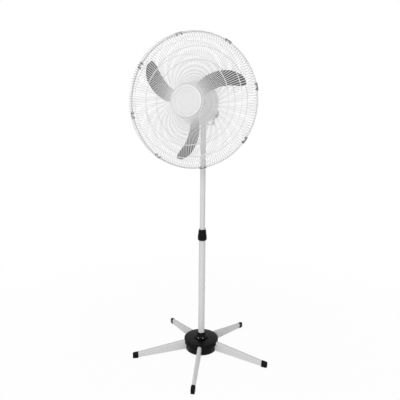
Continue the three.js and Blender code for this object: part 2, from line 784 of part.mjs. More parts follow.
add('stator', aroundFan(ring(statorInner, statorRadius, statorFront, statorFront + statorLength)), lamination);
add('rotor', aroundFan(
  ring(shaftRadius + seatGap, statorInner - rotorGap, statorFront + 2, statorFront + statorLength - 2),
), castAlloy);
add('front_bearing', aroundFan(
  ring(shaftRadius + runGap, bearingRadius, frontPlateFront - 3, frontPlateFront - 3 + bearingLength),
), brass);
add('rear_bearing', aroundFan(
  ring(shaftRadius + runGap, bearingRadius, rearPlateRear + 5 - bearingLength, rearPlateRear + 5), 24,
), brass);

// ---------------------------------------------------------------- gearbox
const wormWheelX = wormRadius + runGap + wormWheelRadius;
const gearDistance = pinionRadius + runGap + crankGearRadius;
const crankY = wormWheelY + Math.sqrt(gearDistance ** 2 - wormWheelX ** 2);
const crankDiscTop = gearboxBottom - runGap;
const crankDiscBottom = crankDiscTop - crankDiscThickness;
const linkBottom = blockTop + runGap;
const linkTop = linkBottom + linkThickness;
const stemBottom = gearboxTop - 2;

// The crank stands square to the line from the link's stud to the crank's centre.
const studToCrank = new THREE.Vector2(linkStudOffset, crankY);
const crankAngle = studToCrank.angle() + Math.PI / 2;
const crankPin = new THREE.Vector2(
  crankThrow * Math.cos(crankAngle), crankY + crankThrow * Math.sin(crankAngle),
);

function gearboxCase() {
  const shell = box(gearboxLeft, gearboxRight, gearboxFront, gearboxRear, gearboxBottom, gearboxTop);
  const room = box(gearboxLeft + gearboxWall, gearboxRight - gearboxWall, gearboxFront + gearboxWall,
    gearboxRear - gearboxWall, gearboxBottom + gearboxWall, gearboxTop + 1);
  const neckOuter = bossRadius + seatGap + gearboxNeckWall;
  const neck = aroundFan(disc(neckOuter, rearPlateRear + seatGap, gearboxFront + 1));
  const bossRoom = aroundFan(disc(bossRadius + seatGap, rearPlateRear, rearPlateRear + 6 + seatGap));
  const shaftHole = aroundFan(disc(shaftRadius + 1, rearPlateRear, gearboxFront + gearboxWall + 1));
  const crankHole = upright(disc(crankShaftRadius + runGap, gearboxBottom - 1, gearboxBottom + gearboxWall + 1),
    16, 0, crankY);
  const lidSeat = box(gearboxLeft, gearboxRight, gearboxFront - seatGap, gearboxRear, gearboxTop, gearboxTop + 10);
  return cut(join([shell, neck]), [lidSeat, room, bossRoom, shaftHole, crankHole]);
}

function gearboxLid() {
  const bottom = gearboxTop + seatGap;
  const plate = box(gearboxLeft, gearboxRight, gearboxFront, gearboxRear, bottom, bottom + gearboxLidThickness);
  const stemHole = upright(disc(clutchStemRadius + runGap, bottom - 1, bottom + gearboxLidThickness + 1),
    16, wormWheelX, wormWheelY);
  return cut(plate, [stemHole]);
}

function wormWheel() {
  const wheelBottom = axisHeight - wormWheelThickness / 2;
  return upright([
    [0, gearboxBottom + gearboxWall + runGap], [pinionRadius, gearboxBottom + gearboxWall + runGap],
    [pinionRadius, crankGearBottom + crankGearThickness + 1], [clutchStemRadius, crankGearBottom + crankGearThickness + 1],
    [clutchStemRadius, wheelBottom], [wormWheelRadius, wheelBottom],
    [wormWheelRadius, wheelBottom + wormWheelThickness], [clutchStemRadius, wheelBottom + wormWheelThickness],
    [clutchStemRadius, stemBottom - runGap], [0, stemBottom - runGap],
  ], 24, wormWheelX, wormWheelY);
}

function crankGear() {
  const train = upright([
    [0, crankDiscBottom], [crankDiscRadius, crankDiscBottom], [crankDiscRadius, crankDiscTop],
    [crankShaftRadius, crankDiscTop], [crankShaftRadius, crankGearBottom], [crankGearRadius, crankGearBottom],
    [crankGearRadius, crankGearBottom + crankGearThickness], [0, crankGearBottom + crankGearThickness],
  ], 32, 0, crankY);
  const pin = upright(disc(crankPinRadius, linkTop + runGap, crankDiscBottom + 1), 12, crankPin.x, crankPin.y);
  return join([train, pin]);
}

// The link is free at the crank: its eye lies just below the crank's pin.
function linkRod() {
  const stud = new THREE.Vector2(-linkStudOffset, 0);
  const direction = crankPin.clone().sub(stud);
  const turn = direction.angle();
  const outline = new THREE.Shape();
  outline.absarc(0, 0, linkHalfWidth, Math.PI / 2, -Math.PI / 2, false);
  outline.absarc(direction.length(), 0, linkHalfWidth, -Math.PI / 2, Math.PI / 2, false);
  outline.closePath();
  for (const [x, radius] of [[0, linkStudRadius], [direction.length(), crankPinRadius]]) {
    const eye = new THREE.Path();
    eye.absarc(x, 0, radius + runGap, 0, 2 * Math.PI, true);
    outline.holes.push(eye);
  }
  const bar = new THREE.ExtrudeGeometry(outline, { depth: linkThickness, bevelEnabled: false, curveSegments: 12 });
  return bar.rotateZ(turn).translate(stud.x, stud.y, linkBottom);
}

function clutchKnob() {
  const top = clutchKnobBottom + clutchKnobHeight;
  return upright([
    [0, stemBottom], [clutchStemRadius, stemBottom], [clutchStemRadius, clutchKnobBottom],
    [clutchKnobRadius - 1, clutchKnobBottom], [clutchKnobRadius, clutchKnobBottom + 3],
    [clutchKnobRadius, top - 3], [clutchKnobRadius - 3, top], [0, top],
  ], 20, wormWheelX, wormWheelY);
}

add('gearbox_case', gearboxCase(), castAlloy);
add('gearbox_lid', gearboxLid(), castAlloy);
add('worm_wheel', wormWheel(), brass);
add('crank_gear', crankGear(), steel);
add('link_rod', linkRod(), steel);
add('clutch_knob', clutchKnob(), blackPlastic);

// ---------------------------------------------------------------- hood, switch and cord inlet
const hoodInner = hoodRear - hoodWall;

function rearHood() {
  const start = rearPlateRear + seatGap;
  const shell = aroundFan([
    [hoodRadius, start], [hoodRadius, hoodTaper], [hoodShoulderRadius, hoodShoulder], [hoodRearRadius, hoodRear],
    [0, hoodRear], [0, hoodInner], [hoodRearRadius - 1.4, hoodInner], [hoodShoulderRadius - hoodWall, hoodShoulder - 1],
    [hoodRadius - hoodWall, hoodTaper], [hoodRadius - hoodWall, start], [hoodRadius, start],
  ], 40);
  const reach = hoodRadius + 1;
  const underside = box(-reach, reach, start - 1, hoodRear + 1, axisHeight - reach, hoodCut);
  const stemHole = upright(disc(clutchStemRadius + runGap, axisHeight, axisHeight + reach), 16, wormWheelX, wormWheelY);
  const knobHole = turned(disc(speedStemRadius + runGap, hoodInner - 1, hoodRear + 1), 16)
    .translate(0, 0, speedKnobHeight);
  const cordHole = turned(disc(cordBushRadius + seatGap, hoodInner - 1, hoodRear + 1), 16)
    .translate(cordBushX, 0, cordBushHeight);
  return cut(shell, [underside, stemHole, knobHole, cordHole]);
}

function speedKnob() {
  const start = hoodRear + runGap;
  const end = start + speedKnobLength;
  const body = turned([
    [0, hoodInner + 0.2], [speedStemRadius, hoodInner + 0.2], [speedStemRadius, start], [speedKnobRadius, start],
    [speedKnobRadius - 1, end - 4], [speedKnobRadius - 3, end - 3], [0, end - 3],
  ], 24).translate(0, 0, speedKnobHeight);
  const grip = box(-3, 3, end - 4, end, speedKnobHeight - speedKnobRadius + 2, speedKnobHeight + speedKnobRadius - 2);
  return join([body, grip]);
}

add('rear_hood', rearHood(), motorPaint);
add('speed_switch', box(-switchHalf, switchHalf, hoodInner - seatGap - switchLength, hoodInner - seatGap,
  speedKnobHeight - switchHalf, speedKnobHeight + switchHalf), blackPlastic);
add('speed_knob', speedKnob(), blackPlastic);
add('cord_bush', turned([
  [cordBushBore, hoodInner - 1], [cordBushRadius, hoodInner - 1], [cordBushRadius, hoodRear + seatGap],
  [cordBushFlange, hoodRear + seatGap], [cordBushFlange - 1, hoodRear + 3], [cordBushBore, hoodRear + 3],
], 16).translate(cordBushX, 0, cordBushHeight), blackPlastic);
add('capacitor', box(gearboxLeft - seatGap - capacitorThickness, gearboxLeft - seatGap, -capacitorHalfLength,
  capacitorHalfLength, capacitorBottom, capacitorBottom + capacitorHeight), whitePlastic);

// ---------------------------------------------------------------- origin
const pedestalFan = new THREE.Group();
const outer = new THREE.Box3().setFromObject(fan);
fan.position.set(-(outer.min.x + outer.max.x) / 2, -(outer.min.y + outer.max.y) / 2, 0);
pedestalFan.add(fan);

export default pedestalFan;
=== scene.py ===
# %% [markdown]
# # A pedestal fan with five legs
# The fan stands on a black hub with five white legs. A two-part white column carries an oscillating head: a
# cast motor, a three-blade propeller and a cage of thin wires. The CAD model of the fan is loaded first and
# is never moved. Pieces that need finer shapes stand in for their CAD nodes, and the rest get a finish of
# their own.

# %% Load the frame
import math

import bmesh
import bpy
import numpy as np
from mathutils import Matrix, Vector


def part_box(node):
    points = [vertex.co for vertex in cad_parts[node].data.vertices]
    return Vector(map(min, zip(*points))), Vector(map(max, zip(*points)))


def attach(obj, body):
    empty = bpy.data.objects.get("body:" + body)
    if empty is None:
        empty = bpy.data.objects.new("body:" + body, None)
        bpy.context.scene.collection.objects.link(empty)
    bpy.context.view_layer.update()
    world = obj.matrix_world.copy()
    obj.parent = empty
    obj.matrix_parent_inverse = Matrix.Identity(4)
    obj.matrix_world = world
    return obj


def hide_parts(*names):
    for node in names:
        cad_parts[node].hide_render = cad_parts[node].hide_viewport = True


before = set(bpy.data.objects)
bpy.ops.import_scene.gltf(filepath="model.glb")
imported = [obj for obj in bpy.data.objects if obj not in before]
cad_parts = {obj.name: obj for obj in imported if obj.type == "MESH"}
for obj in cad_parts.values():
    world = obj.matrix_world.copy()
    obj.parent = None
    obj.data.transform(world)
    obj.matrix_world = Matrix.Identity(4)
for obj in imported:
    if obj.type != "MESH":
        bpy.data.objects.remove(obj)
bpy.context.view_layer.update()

# %% [markdown]
# ## One ruler for every shape
# A fan is easiest to describe from two lines: the column's axis and the motor's axis. So every formula
# below counts in millimetres from the column's axis at the floor, and one step at the end turns it into
# metres in the frame. The CAD boxes give both lines.

# %% The two axes
tube_low, tube_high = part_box("lower_tube")
column = np.array([(tube_low.x + tube_high.x) / 2, (tube_low.y + tube_high.y) / 2, 0.0])


def span(node):
    """Lowest and highest corner of a CAD node, in millimetres from the column's axis at the floor."""
    low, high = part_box(node)
    return (np.array(low) - column) * 1000, (np.array(high) - column) * 1000


motor_low, motor_high = span("motor_housing")
axis_height = (motor_low[2] + motor_high[2]) / 2
motor_radius = (motor_high[0] - motor_low[0]) / 2
print("column axis (m):", column[:2].round(4), " fan axis height (mm):", round(axis_height, 1))

# %% [markdown]
# ## The camera
# It stands in front of the fan and a little to its right, at the height of the chest, and looks slightly
# down with a long lens. The fan keeps a fair margin all round.

# %% Camera
eye = Vector((0.55564, -1.76493, 1.11869)) + Vector(column)
yaw, pitch, roll = (math.radians(angle) for angle in (-17.866, 10.240, 0.528))
forward = Vector((math.sin(yaw) * math.cos(pitch), math.cos(yaw) * math.cos(pitch), -math.sin(pitch)))
level = Vector((math.cos(yaw), -math.sin(yaw), 0))
raised = level.cross(forward)
right = math.cos(roll) * level + math.sin(roll) * raised
up = math.cos(roll) * raised - math.sin(roll) * level
camera = bpy.data.objects.new("camera", bpy.data.cameras.new("camera"))
camera.matrix_world = Matrix((
    (right.x, up.x, -forward.x, eye.x), (right.y, up.y, -forward.y, eye.y),
    (right.z, up.z, -forward.z, eye.z), (0, 0, 0, 1)))
camera.data.sensor_width = 36
camera.data.lens = 35.375
camera.data.clip_end = 60
bpy.context.collection.objects.link(camera)
bpy.context.scene.camera = camera
print("camera at", tuple(round(c, 3) for c in camera.matrix_world.translation))

# %% [markdown]
# ## Skins from rings
# Almost every piece here is a row of closed rings: a tube is the same ring at many heights, a blade is a
# lens that turns as it goes outward. One function joins such a row into a closed skin. Its two ends are
# flat faces, or a point where the last ring has shrunk to nothing, and a signed volume tells it which way
# the faces must look.

# %% Skin
def skin(rings, loop=False):
    """Closed surface through rings[row, point, xyz]: row i joins row i + 1 by quads, and point j joins
    point j + 1. An end row is closed by one flat face, or by a fan if the row is a single point. With loop,
    the last row joins the first. The signed volume, a sixth of the sum of a . (b x c), must be positive."""
    rings = np.asarray(rings, float)
    pole = np.ptp(rings, axis=1).max(axis=1) < 1e-6
    tips = rings[pole][:, 0]
    rings = rings[~pole]
    rows, points = rings.shape[:2]
    grid = np.arange(rows * points).reshape(rows, points)
    if loop:
        grid = np.vstack([grid, grid[:1]])
    low, high = grid[:-1], grid[1:]
    quads = np.stack([low, np.roll(low, -1, 1), np.roll(high, -1, 1), high], -1).reshape(-1, 4)
    corners = np.vstack([rings.reshape(-1, 3), tips]) if len(tips) else rings.reshape(-1, 3)
    faces = quads.tolist()
    if not loop:
        tip = rows * points
        for is_pole, edge in ((pole[0], grid[0][::-1]), (pole[-1], grid[-1])):
            if is_pole:
                fan = np.stack([np.full(points, tip), edge, np.roll(edge, -1)], -1)
                faces += fan.tolist()
                tip += 1
            else:
                faces.append(edge.tolist())
    middle = corners.mean(axis=0)
    a, b, c, d = (corners[quads[:, k]] - middle for k in range(4))
    volume = np.einsum("ij,ij->i", a, np.cross(b, c) + np.cross(c, d)).sum()
    if volume < 0:
        faces = [face[::-1] for face in faces]
    return corners, faces


def gathered(skins):
    """Several skins as one: the corners in one list, with each skin's faces counted on from the last."""
    corners, faces, start = [], [], 0
    for points, sides in skins:
        corners.append(points)
        faces += [[start + k for k in side] for side in sides]
        start += len(points)
    return np.vstack(corners), faces


square = np.array([[0, 0], [1, 0], [1, 1], [0, 1]], float)
cube = skin([np.column_stack([square, np.full(4, height)]) for height in (0.0, 1.0)])
print("a cube from two square rings has", len(cube[0]), "corners and", len(cube[1]), "faces")

# %% [markdown]
# ## Profiles
# Sheet metal and moulded plastic have no sharp corners: a small round catches the light along every edge. A
# profile is drawn with corners first, and then each corner is swapped for a short curve.

# %% Rounded corners and smooth routes
def rounded(corners, closed=True, steps=4):
    """Corners as (a, b, cut). Each becomes the curve (1-s)^2 P + 2s(1-s) C + s^2 Q, where C is the corner
    and P and Q lie the cut's length away from it on its two sides."""
    points = np.array([corner[:2] for corner in corners], float)
    cut = np.array([corner[2] if len(corner) > 2 else 0.0 for corner in corners])
    before, after = np.roll(points, 1, 0) - points, np.roll(points, -1, 0) - points
    long_before, long_after = (np.linalg.norm(side, axis=1) for side in (before, after))
    if not closed:
        cut[0] = cut[-1] = 0
    cut = np.minimum(cut, 0.45 * np.minimum(long_before, long_after))
    p = points + before * (cut / long_before)[:, None]
    q = points + after * (cut / long_after)[:, None]
    s = np.linspace(0, 1, steps + 1)[None, :, None]
    curve = (1 - s) ** 2 * p[:, None] + 2 * s * (1 - s) * points[:, None] + s**2 * q[:, None]
    return np.vstack([part if size > 0 else part[:1] for part, size in zip(curve, cut)])


def smooth_route(points, count):
    """Curve through points: between two of them it is the cubic that also follows the chords of their
    neighbours (Catmull-Rom)."""
    points = np.array(points, float)
    held = np.vstack([2 * points[0] - points[1], points, 2 * points[-1] - points[-2]])
    t = np.linspace(0, len(points) - 1, count)
    k = np.minimum(t.astype(int), len(points) - 2)
    f = (t - k)[:, None]
    a, b, c, d = (held[k + step] for step in range(4))
    return 0.5 * (2 * b + (c - a) * f + (2 * a - 5 * b + 4 * c - d) * f**2 + (3 * b - a - 3 * c + d) * f**3)


print("a rounded square has", len(rounded([(0, 0, 1), (9, 0, 1), (9, 9, 1), (0, 9, 1)])), "points")

# %% [markdown]
# ## Turned and repeated shapes
# Tubes, knobs, plates and the badge are all made on a lathe or in a round mould, so they are a profile
# carried round a circle. Spokes and blades are one shape repeated round the fan's axis. Spin and Array
# could do both in the editor, but as formulas they keep every number in one place.

# %% Turned shapes and copies
def circle_points(sides):
    """Cosine and sine of evenly spaced angles."""
    angle = np.arange(sides) * 2 * np.pi / sides
    return np.cos(angle), np.sin(angle)


def turned(profile, sides, line="column", at=(0.0, 0.0), loop=False, wave=None):
    """Rings of radius r at height h for each (r, h) of the profile, about the column, the fan's axis or a
    line across (at gives the line's place). wave multiplies the radius by angle, for grips and flutes."""
    r, h = np.asarray(profile, float).T[:, :, None]
    cos, sin = circle_points(sides)
    if wave is not None:
        r = r * wave
    flat = np.broadcast_to(h, (len(profile), sides))
    if line == "column":
        rings = np.stack([at[0] + r * cos, at[1] + r * sin, flat], -1)
    elif line == "fan":
        rings = np.stack([at[0] + r * cos, flat, axis_height + at[1] + r * sin], -1)
    else:
        rings = np.stack([flat, at[0] + r * cos, at[1] + r * sin], -1)
    return skin(rings, loop)


def copies(shape, count, first=0.0):
    """The same skin turned count times about the fan's axis: x' = x cos a + z sin a, z' = z cos a - x sin
    a."""
    corners, faces = shape
    angle = first + np.arange(count) * 2 * np.pi / count
    x, y, z = corners[:, 0], corners[:, 1], corners[:, 2] - axis_height
    cos, sin = np.cos(angle)[:, None], np.sin(angle)[:, None]
    depth = np.broadcast_to(y, (count, len(y)))
    turned_round = np.stack([x * cos + z * sin, depth, axis_height + z * cos - x * sin], -1)
    starts = range(0, count * len(corners), len(corners))
    return turned_round.reshape(-1, 3), [[start + k for k in face] for start in starts for face in faces]


print("a turned pin of 12 sides has", len(turned([(0, 0), (2, 0), (2, 9), (0, 9)], 12)[0]), "corners")

# %% [markdown]
# ## From a skin to a piece
# A piece is a mesh at the origin, unturned and unscaled, that rides on one body of the fan. It says which
# CAD nodes it stands for, and the print shows how far its box is from theirs: a good stand-in is within a
# millimetre or two.

# %% Piece
def piece(name, skins, body, finish, stands_for=(), crease=32):
    """Puts the gathered skins into a mesh: metres = millimetres / 1000 + the column's place. Edges that
    bend more than crease degrees stay sharp."""
    corners, faces = gathered(skins)
    corners = corners / 1000 + column
    mesh = bpy.data.meshes.new(name)
    mesh.from_pydata(corners.tolist(), [], faces)
    mesh.shade_smooth()
    mesh.set_sharp_from_angle(angle=math.radians(crease))
    mesh.materials.append(finish)
    made = bpy.data.objects.new(name, mesh)
    bpy.context.collection.objects.link(made)
    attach(made, body)
    note = ""
    if stands_for:
        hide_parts(*stands_for)
        boxes = [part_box(node) for node in stands_for]
        low = np.min([box[0] for box in boxes], axis=0)
        high = np.max([box[1] for box in boxes], axis=0)
        apart = 1000 * np.abs(np.concatenate([corners.min(0) - low, corners.max(0) - high])).max()
        note = f", box within {apart:.1f} mm of the CAD"
    print(f"{name}: {len(faces)} faces{note}")
    return made


# %% [markdown]
# ## Rounded copies of CAD nodes
# Castings and pressed covers have the right shape in the CAD, but every edge there is sharp. A copy can be
# rounded: its loose triangles are merged first, because a bevel needs edges that its faces share.

# %% Rounded copy
def softened(node, body, finish, width):
    """A copy of a CAD node with its loose triangles merged, its flat faces joined and its edges rounded by
    a Bevel of the given width in millimetres."""
    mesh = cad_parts[node].data.copy()
    mesh.materials.clear()
    mesh.materials.append(finish)
    work = bmesh.new()
    work.from_mesh(mesh)
    bmesh.ops.remove_doubles(work, verts=work.verts, dist=1e-5)
    bmesh.ops.dissolve_limit(work, angle_limit=math.radians(1), verts=work.verts, edges=work.edges)
    work.to_mesh(mesh)
    work.free()
    mesh.shade_smooth()
    mesh.set_sharp_from_angle(angle=math.radians(32))
    made = bpy.data.objects.new(node + "_soft", mesh)
    bpy.context.collection.objects.link(made)
    edge = made.modifiers.new("edge", "BEVEL")
    edge.width = width / 1000
    edge.segments = 2
    edge.limit_method = "ANGLE"
    edge.angle_limit = math.radians(32)
    edge.harden_normals = True
    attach(made, body)
    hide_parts(node)
    print(f"{node}: {len(mesh.polygons)} faces before its edges are rounded")
    return made


print("the neck yoke comes from the CAD as", len(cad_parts["neck_yoke"].data.polygons), "triangles")

# %% [markdown]
# ## Shader sums written in Python
# A roughness is a small sum: a share of one noise, plus a share of another. The class below lets Python's
# own signs build the nodes, so that `0.3 + 0.1 * cloud` adds a Multiply node and an Add node. Any other
# node comes from the finish's one method.

# %% A socket that can stand in a sum
class Amount:
    """A socket that can stand in a sum. Each sign adds one Math node, and works from either side."""

    def __init__(self, finish, socket):
        self.finish, self.socket = finish, socket

    def sum_node(self, operation, first, second):
        return self.finish.node("ShaderNodeMath", {"operation": operation}, {0: first, 1: second})

    def __add__(self, other):
        return self.sum_node("ADD", self, other)

    def __radd__(self, other):
        return self.sum_node("ADD", other, self)

    def __mul__(self, other):
        return self.sum_node("MULTIPLY", self, other)

    def __rmul__(self, other):
        return self.sum_node("MULTIPLY", other, self)


print("signs that add a node:", "+", "*")

# %% [markdown]
# ## One class for every finish
# Each finish starts from the same three nodes: a Principled shader, its output, and the object's own
# coordinates. The numbers that don't vary are set straight on the shader, and what varies is fed in by
# name.

# %% Finish
class Finish:
    """A material with one Principled shader. Numbers that are the same all over are set on its sockets."""

    def __init__(self, name, **constants):
        self.material = bpy.data.materials.new(name)
        self.material.use_nodes = True
        self.tree = self.material.node_tree
        self.tree.nodes.clear()
        self.shader = self.tree.nodes.new("ShaderNodeBsdfPrincipled")
        output = self.tree.nodes.new("ShaderNodeOutputMaterial")
        self.tree.links.new(self.shader.outputs[0], output.inputs[0])
        for key, value in constants.items():
            self.shader.inputs[key.replace("_", " ")].default_value = value
        self.place = self.node("ShaderNodeTexCoord", output="Object")

    def node(self, kind, settings=None, links=None, output=0):
        """Adds a node of this type, sets its settings first, then its sockets' values or links."""
        made = self.tree.nodes.new(kind)
        for key, value in (settings or {}).items():
            if key == "stops":
                ramp = made.color_ramp.elements
                while len(ramp) < len(value):
                    ramp.new(0.5)
                for element, (at, shade) in zip(ramp, value):
                    element.position = at
                    element.color = (shade, shade, shade, 1)
            else:
                setattr(made, key, value)
        for key, value in (links or {}).items():
            if isinstance(value, Amount):
                self.tree.links.new(value.socket, made.inputs[key])
            else:
                made.inputs[key].default_value = value
        return Amount(self, made.outputs[output])

    def feed(self, **links):
        """Links varying values to the shader's sockets."""
        for key, value in links.items():
            self.tree.links.new(value.socket, self.shader.inputs[key.replace("_", " ")])
        return self

    def noise(self, scale, detail=2.0, roughness=0.5, place=None):
        return self.node("ShaderNodeTexNoise", {}, {
            "Vector": place or self.place, "Scale": scale, "Detail": detail, "Roughness": roughness})

    def stretched(self, x=1.0, y=1.0, z=1.0):
        return self.node("ShaderNodeMapping", {}, {"Vector": self.place, "Scale": (x, y, z)})

    def ramp(self, value, *stops):
        return self.node("ShaderNodeValToRGB", {"stops": stops}, {"Fac": value})

    def between(self, factor, first, second):
        """A mix of two colours."""
        return self.node("ShaderNodeMix", {"data_type": "RGBA"}, {0: factor, 6: first, 7: second}, output=2)

    def bump(self, height, strength, distance):
        return self.node("ShaderNodeBump", {}, {"Strength": strength, "Distance": distance, "Height": height})


def grey(level):
    """Linear colour of an sRGB grey from 0 to 255: ((level / 255 + 0.055) / 1.055) to the power 2.4."""
    linear = ((level / 255 + 0.055) / 1.055) ** 2.4
    return (linear, linear, linear, 1.0)


print("sRGB grey 217 is", round(grey(217)[0], 3), "in linear light")

# %% [markdown]
# ## Paints
# Powder coat is a baked plastic skin: nearly even in colour, with a fine orange-peel ripple that breaks up
# its highlights. A flat colour would look like paper. Here are three tones of it, for the legs and tubes,
# for the motor and yoke, and for the wires. The wires' tone is set lighter than the tubes' as painted light:
# it stands for the light the wires catch in front of the shaded column. The noises read the object's own
# coordinates, so nothing slides when the fan tilts.

# %% Paints
def powder_coat(name, level, roughness, peel=0.25):
    """Even colour with a slow drift of about two levels, and orange peel: a noise of 1.2 mm under a 0.02 mm
    bump."""
    made = Finish(name, Roughness=roughness, Specular_IOR_Level=0.2)
    drift = made.noise(9.0, 3.0)
    cloud = made.noise(160.0, 2.0)
    colour = made.between(drift * 0.7 + cloud * 0.3, grey(level - 3), grey(level + 3))
    ripple = made.noise(820.0, 1.0) * 0.7 + made.noise(2400.0, 1.0) * 0.3
    made.feed(Base_Color=colour, Roughness=cloud * 0.12 + (roughness - 0.06),
              Normal=made.bump(ripple, peel, 0.00004))
    return made.material


white_paint = powder_coat("white_powder_coat", 217, 0.4)
motor_paint = powder_coat("motor_powder_coat", 223, 0.42, 0.35)
# painted light: the wires' white is set lighter than the tubes' for the light the wires catch
painted_light_wire_paint = powder_coat("wire_powder_coat_painted_light", 234, 0.4)
print("paints:", white_paint.name, motor_paint.name, painted_light_wire_paint.name)

# %% [markdown]
# ## Plastics
# The hub, caps, collar and knobs are black and fairly glossy, the blades and clips are satin grey, and the
# badge is white. One recipe makes them all: only the tone, the gloss and the amount of dust change.

# %% Plastics
def moulded(name, level, roughness, scuffs=0.5, grain=1500.0, shine=0.4, step_shade_at=None):
    """Moulded plastic: a fine spark grain, slow flow marks, specks of dust where a noise peaks, and
    hairline scuffs from a noise stretched twenty times along one line. A given distance in millimetres from
    the fan's axis gets a dark ring of painted shade, which stands for the shade of a step in the blade, and
    the tone is a touch darker inside it."""
    made = Finish(name, Roughness=roughness, Specular_IOR_Level=shine)
    flow = made.noise(22.0, 3.0)
    dust = made.ramp(made.noise(620.0, 3.0, 0.7), (0.6, 0.0), (0.74, 1.0))
    line = made.noise(240.0, 2.0, 0.6, made.stretched(1.0, 1.0, 0.05))
    scuff = made.ramp(line, (0.6, 0.0), (0.7, 1.0))
    base = made.between(flow, grey(max(level - 4, 4)), grey(level + 4))
    colour = made.between(dust * 0.1 * scuffs, base, grey(150))
    # painted shade: a dark ring at this distance from the fan's axis stands for the shade of a step in the
    # blade
    if step_shade_at:
        axis = (-column[0], 0.0, -axis_height / 1000)
        centred = made.node("ShaderNodeMapping", {}, {"Vector": made.place, "Location": axis})
        flat = made.node("ShaderNodeVectorMath", {"operation": "MULTIPLY"}, {0: centred, 1: (1.0, 0.0, 1.0)})
        radius = made.node("ShaderNodeVectorMath", {"operation": "LENGTH"}, {0: flat}, output="Value")
        at = step_shade_at / 1000 * 4
        painted_step_shade = made.ramp(radius * 4, (at - 0.044, 0.1), (at - 0.020, 1.0), (at + 0.012, 1.0),
                         (at + 0.030, 0.0))
        colour = made.between(painted_step_shade * 0.7, colour, grey(level - 40))
    made.feed(Base_Color=colour, Roughness=scuff * (0.16 * scuffs) + flow * 0.1 + (roughness - 0.05),
              Normal=made.bump(made.noise(grain, 2.0), 0.25, 0.00002))
    return made.material


black_plastic = moulded("black_moulded_plastic", 13, 0.2, 0.6, shine=0.07)
clip_plastic = moulded("dark_grey_clip_plastic", 118, 0.45, 0.4)
# the blades carry a ring of painted shade 122 mm from the fan's axis, for a step in the blade
blade_plastic = moulded("satin_grey_blade_plastic", 104, 0.4, 0.3, grain=1100.0, step_shade_at=122.0)
white_plastic = moulded("white_moulded_plastic", 222, 0.34, 0.15, shine=0.3)
print("plastics:", black_plastic.name, clip_plastic.name, blade_plastic.name, white_plastic.name)

# %% [markdown]
# ## Bare metals
# The gearbox is cast, the screws and shafts are turned and plated, and the motor's core is a stack of thin
# sheets. Each shows how it was made: pits, fine lines along the tool's path, or bands.

# %% Metals
def cast_metal(name, level, roughness):
    """Sand-like pits from two noises, darker where they are deep."""
    made = Finish(name, Metallic=0.85, Roughness=roughness)
    pits = made.noise(700.0, 4.0, 0.65)
    cloud = made.noise(30.0, 3.0)
    colour = made.between(pits * 0.6 + cloud * 0.4, grey(level - 26), grey(level + 16))
    made.feed(Base_Color=colour, Roughness=cloud * 0.2 + (roughness - 0.1),
              Normal=made.bump(pits, 0.6, 0.00012))
    return made.material


def plated(name, shade, roughness):
    """Bright metal with turning lines: a noise squeezed along the line that the tool ran."""
    made = Finish(name, Metallic=1.0, Roughness=roughness)
    line = made.noise(900.0, 2.0, 0.6, made.stretched(1.0, 1.0, 0.04))
    bloom = made.noise(60.0, 3.0)
    dark = tuple(c * 0.72 for c in shade[:3]) + (1.0,)
    made.feed(Base_Color=made.between(line * 0.5 + bloom * 0.5, dark, shade),
              Roughness=line * 0.16 + bloom * 0.12 + (roughness - 0.1), Normal=made.bump(line, 0.25, 0.00003))
    return made.material


def laminated(name, level):
    """Stacked sheets of steel: fine bands along the fan's axis, a band each 0.8 mm."""
    made = Finish(name, Metallic=0.8, Roughness=0.5)
    band = made.node("ShaderNodeTexWave", {"bands_direction": "Y"}, {
        "Vector": made.place, "Scale": 200.0, "Distortion": 0.6, "Detail": 1.0})
    made.feed(Base_Color=made.between(band, grey(level - 22), grey(level + 14)),
              Roughness=made.noise(80.0) * 0.2 + 0.4, Normal=made.bump(band, 0.6, 0.0001))
    return made.material


cast_alloy = cast_metal("cast_alloy", 178, 0.5)
steel = plated("zinc_plated_steel", (0.62, 0.63, 0.65, 1.0), 0.32)
brass = plated("brass", (0.62, 0.45, 0.18, 1.0), 0.34)
dark_steel = plated("blackened_screw_steel", (0.07, 0.07, 0.075, 1.0), 0.4)
lamination = laminated("steel_laminations", 110)
print("metals:", cast_alloy.name, steel.name, brass.name, dark_steel.name, lamination.name)

# %% [markdown]
# ## The legs
# Each leg is a deep pressed channel: tall where the hub grips it, low and slim at the foot. It runs level
# inside the hub and then falls in one straight line. The skin is a row of rings with a flat base and
# rounded shoulders. A box stretched between two ends would do for the outline, but its edges would be
# knife-sharp.

# %% Legs
hub_low, hub_high = span("hub_lid")
lid_radius = (hub_high[0] - hub_low[0]) / 2
front_leg, leg_count = -78.35, 5
leg_angles = [math.radians(front_leg + 360 / leg_count * k) for k in range(leg_count)]
foot_reach, cap_length, leg_inner, leg_outer = 346.0, 27.0, 26.0, 331.0
root_width, tip_width, root_base, tip_base, tip_top = 19.0, 15.2, 22.6, 1.4, 26.5
leg_top = span("leg_1")[1][2]


def spun(rings, angle):
    """The same rings turned by an angle about the column."""
    x, y, z = np.moveaxis(np.asarray(rings), -1, 0)
    cos, sin = math.cos(angle), math.sin(angle)
    return np.stack([x * cos - y * sin, x * sin + y * cos, z], -1)


def leg_ring(r, inset=0.0):
    """One ring of a leg at r: the width falls evenly outwards, the base and the top fall evenly beyond the
    lid."""
    out = min(max((r - lid_radius) / (leg_outer - lid_radius), 0), 1)
    half = 0.5 * (root_width + (tip_width - root_width) * (r - leg_inner) / (leg_outer - leg_inner)) - inset
    low = root_base + (tip_base - root_base) * out + inset
    high = leg_top + (tip_top - leg_top) * out - inset
    shoulder = half / 2
    ring = rounded([(-half, low, 1.4), (half, low, 1.4), (half, high - shoulder, 3.0),
                    (half - shoulder, high, 2.6), (shoulder - half, high, 2.6),
                    (-half, high - shoulder, 3.0)], steps=5)
    return np.column_stack([np.full(len(ring), r), ring])


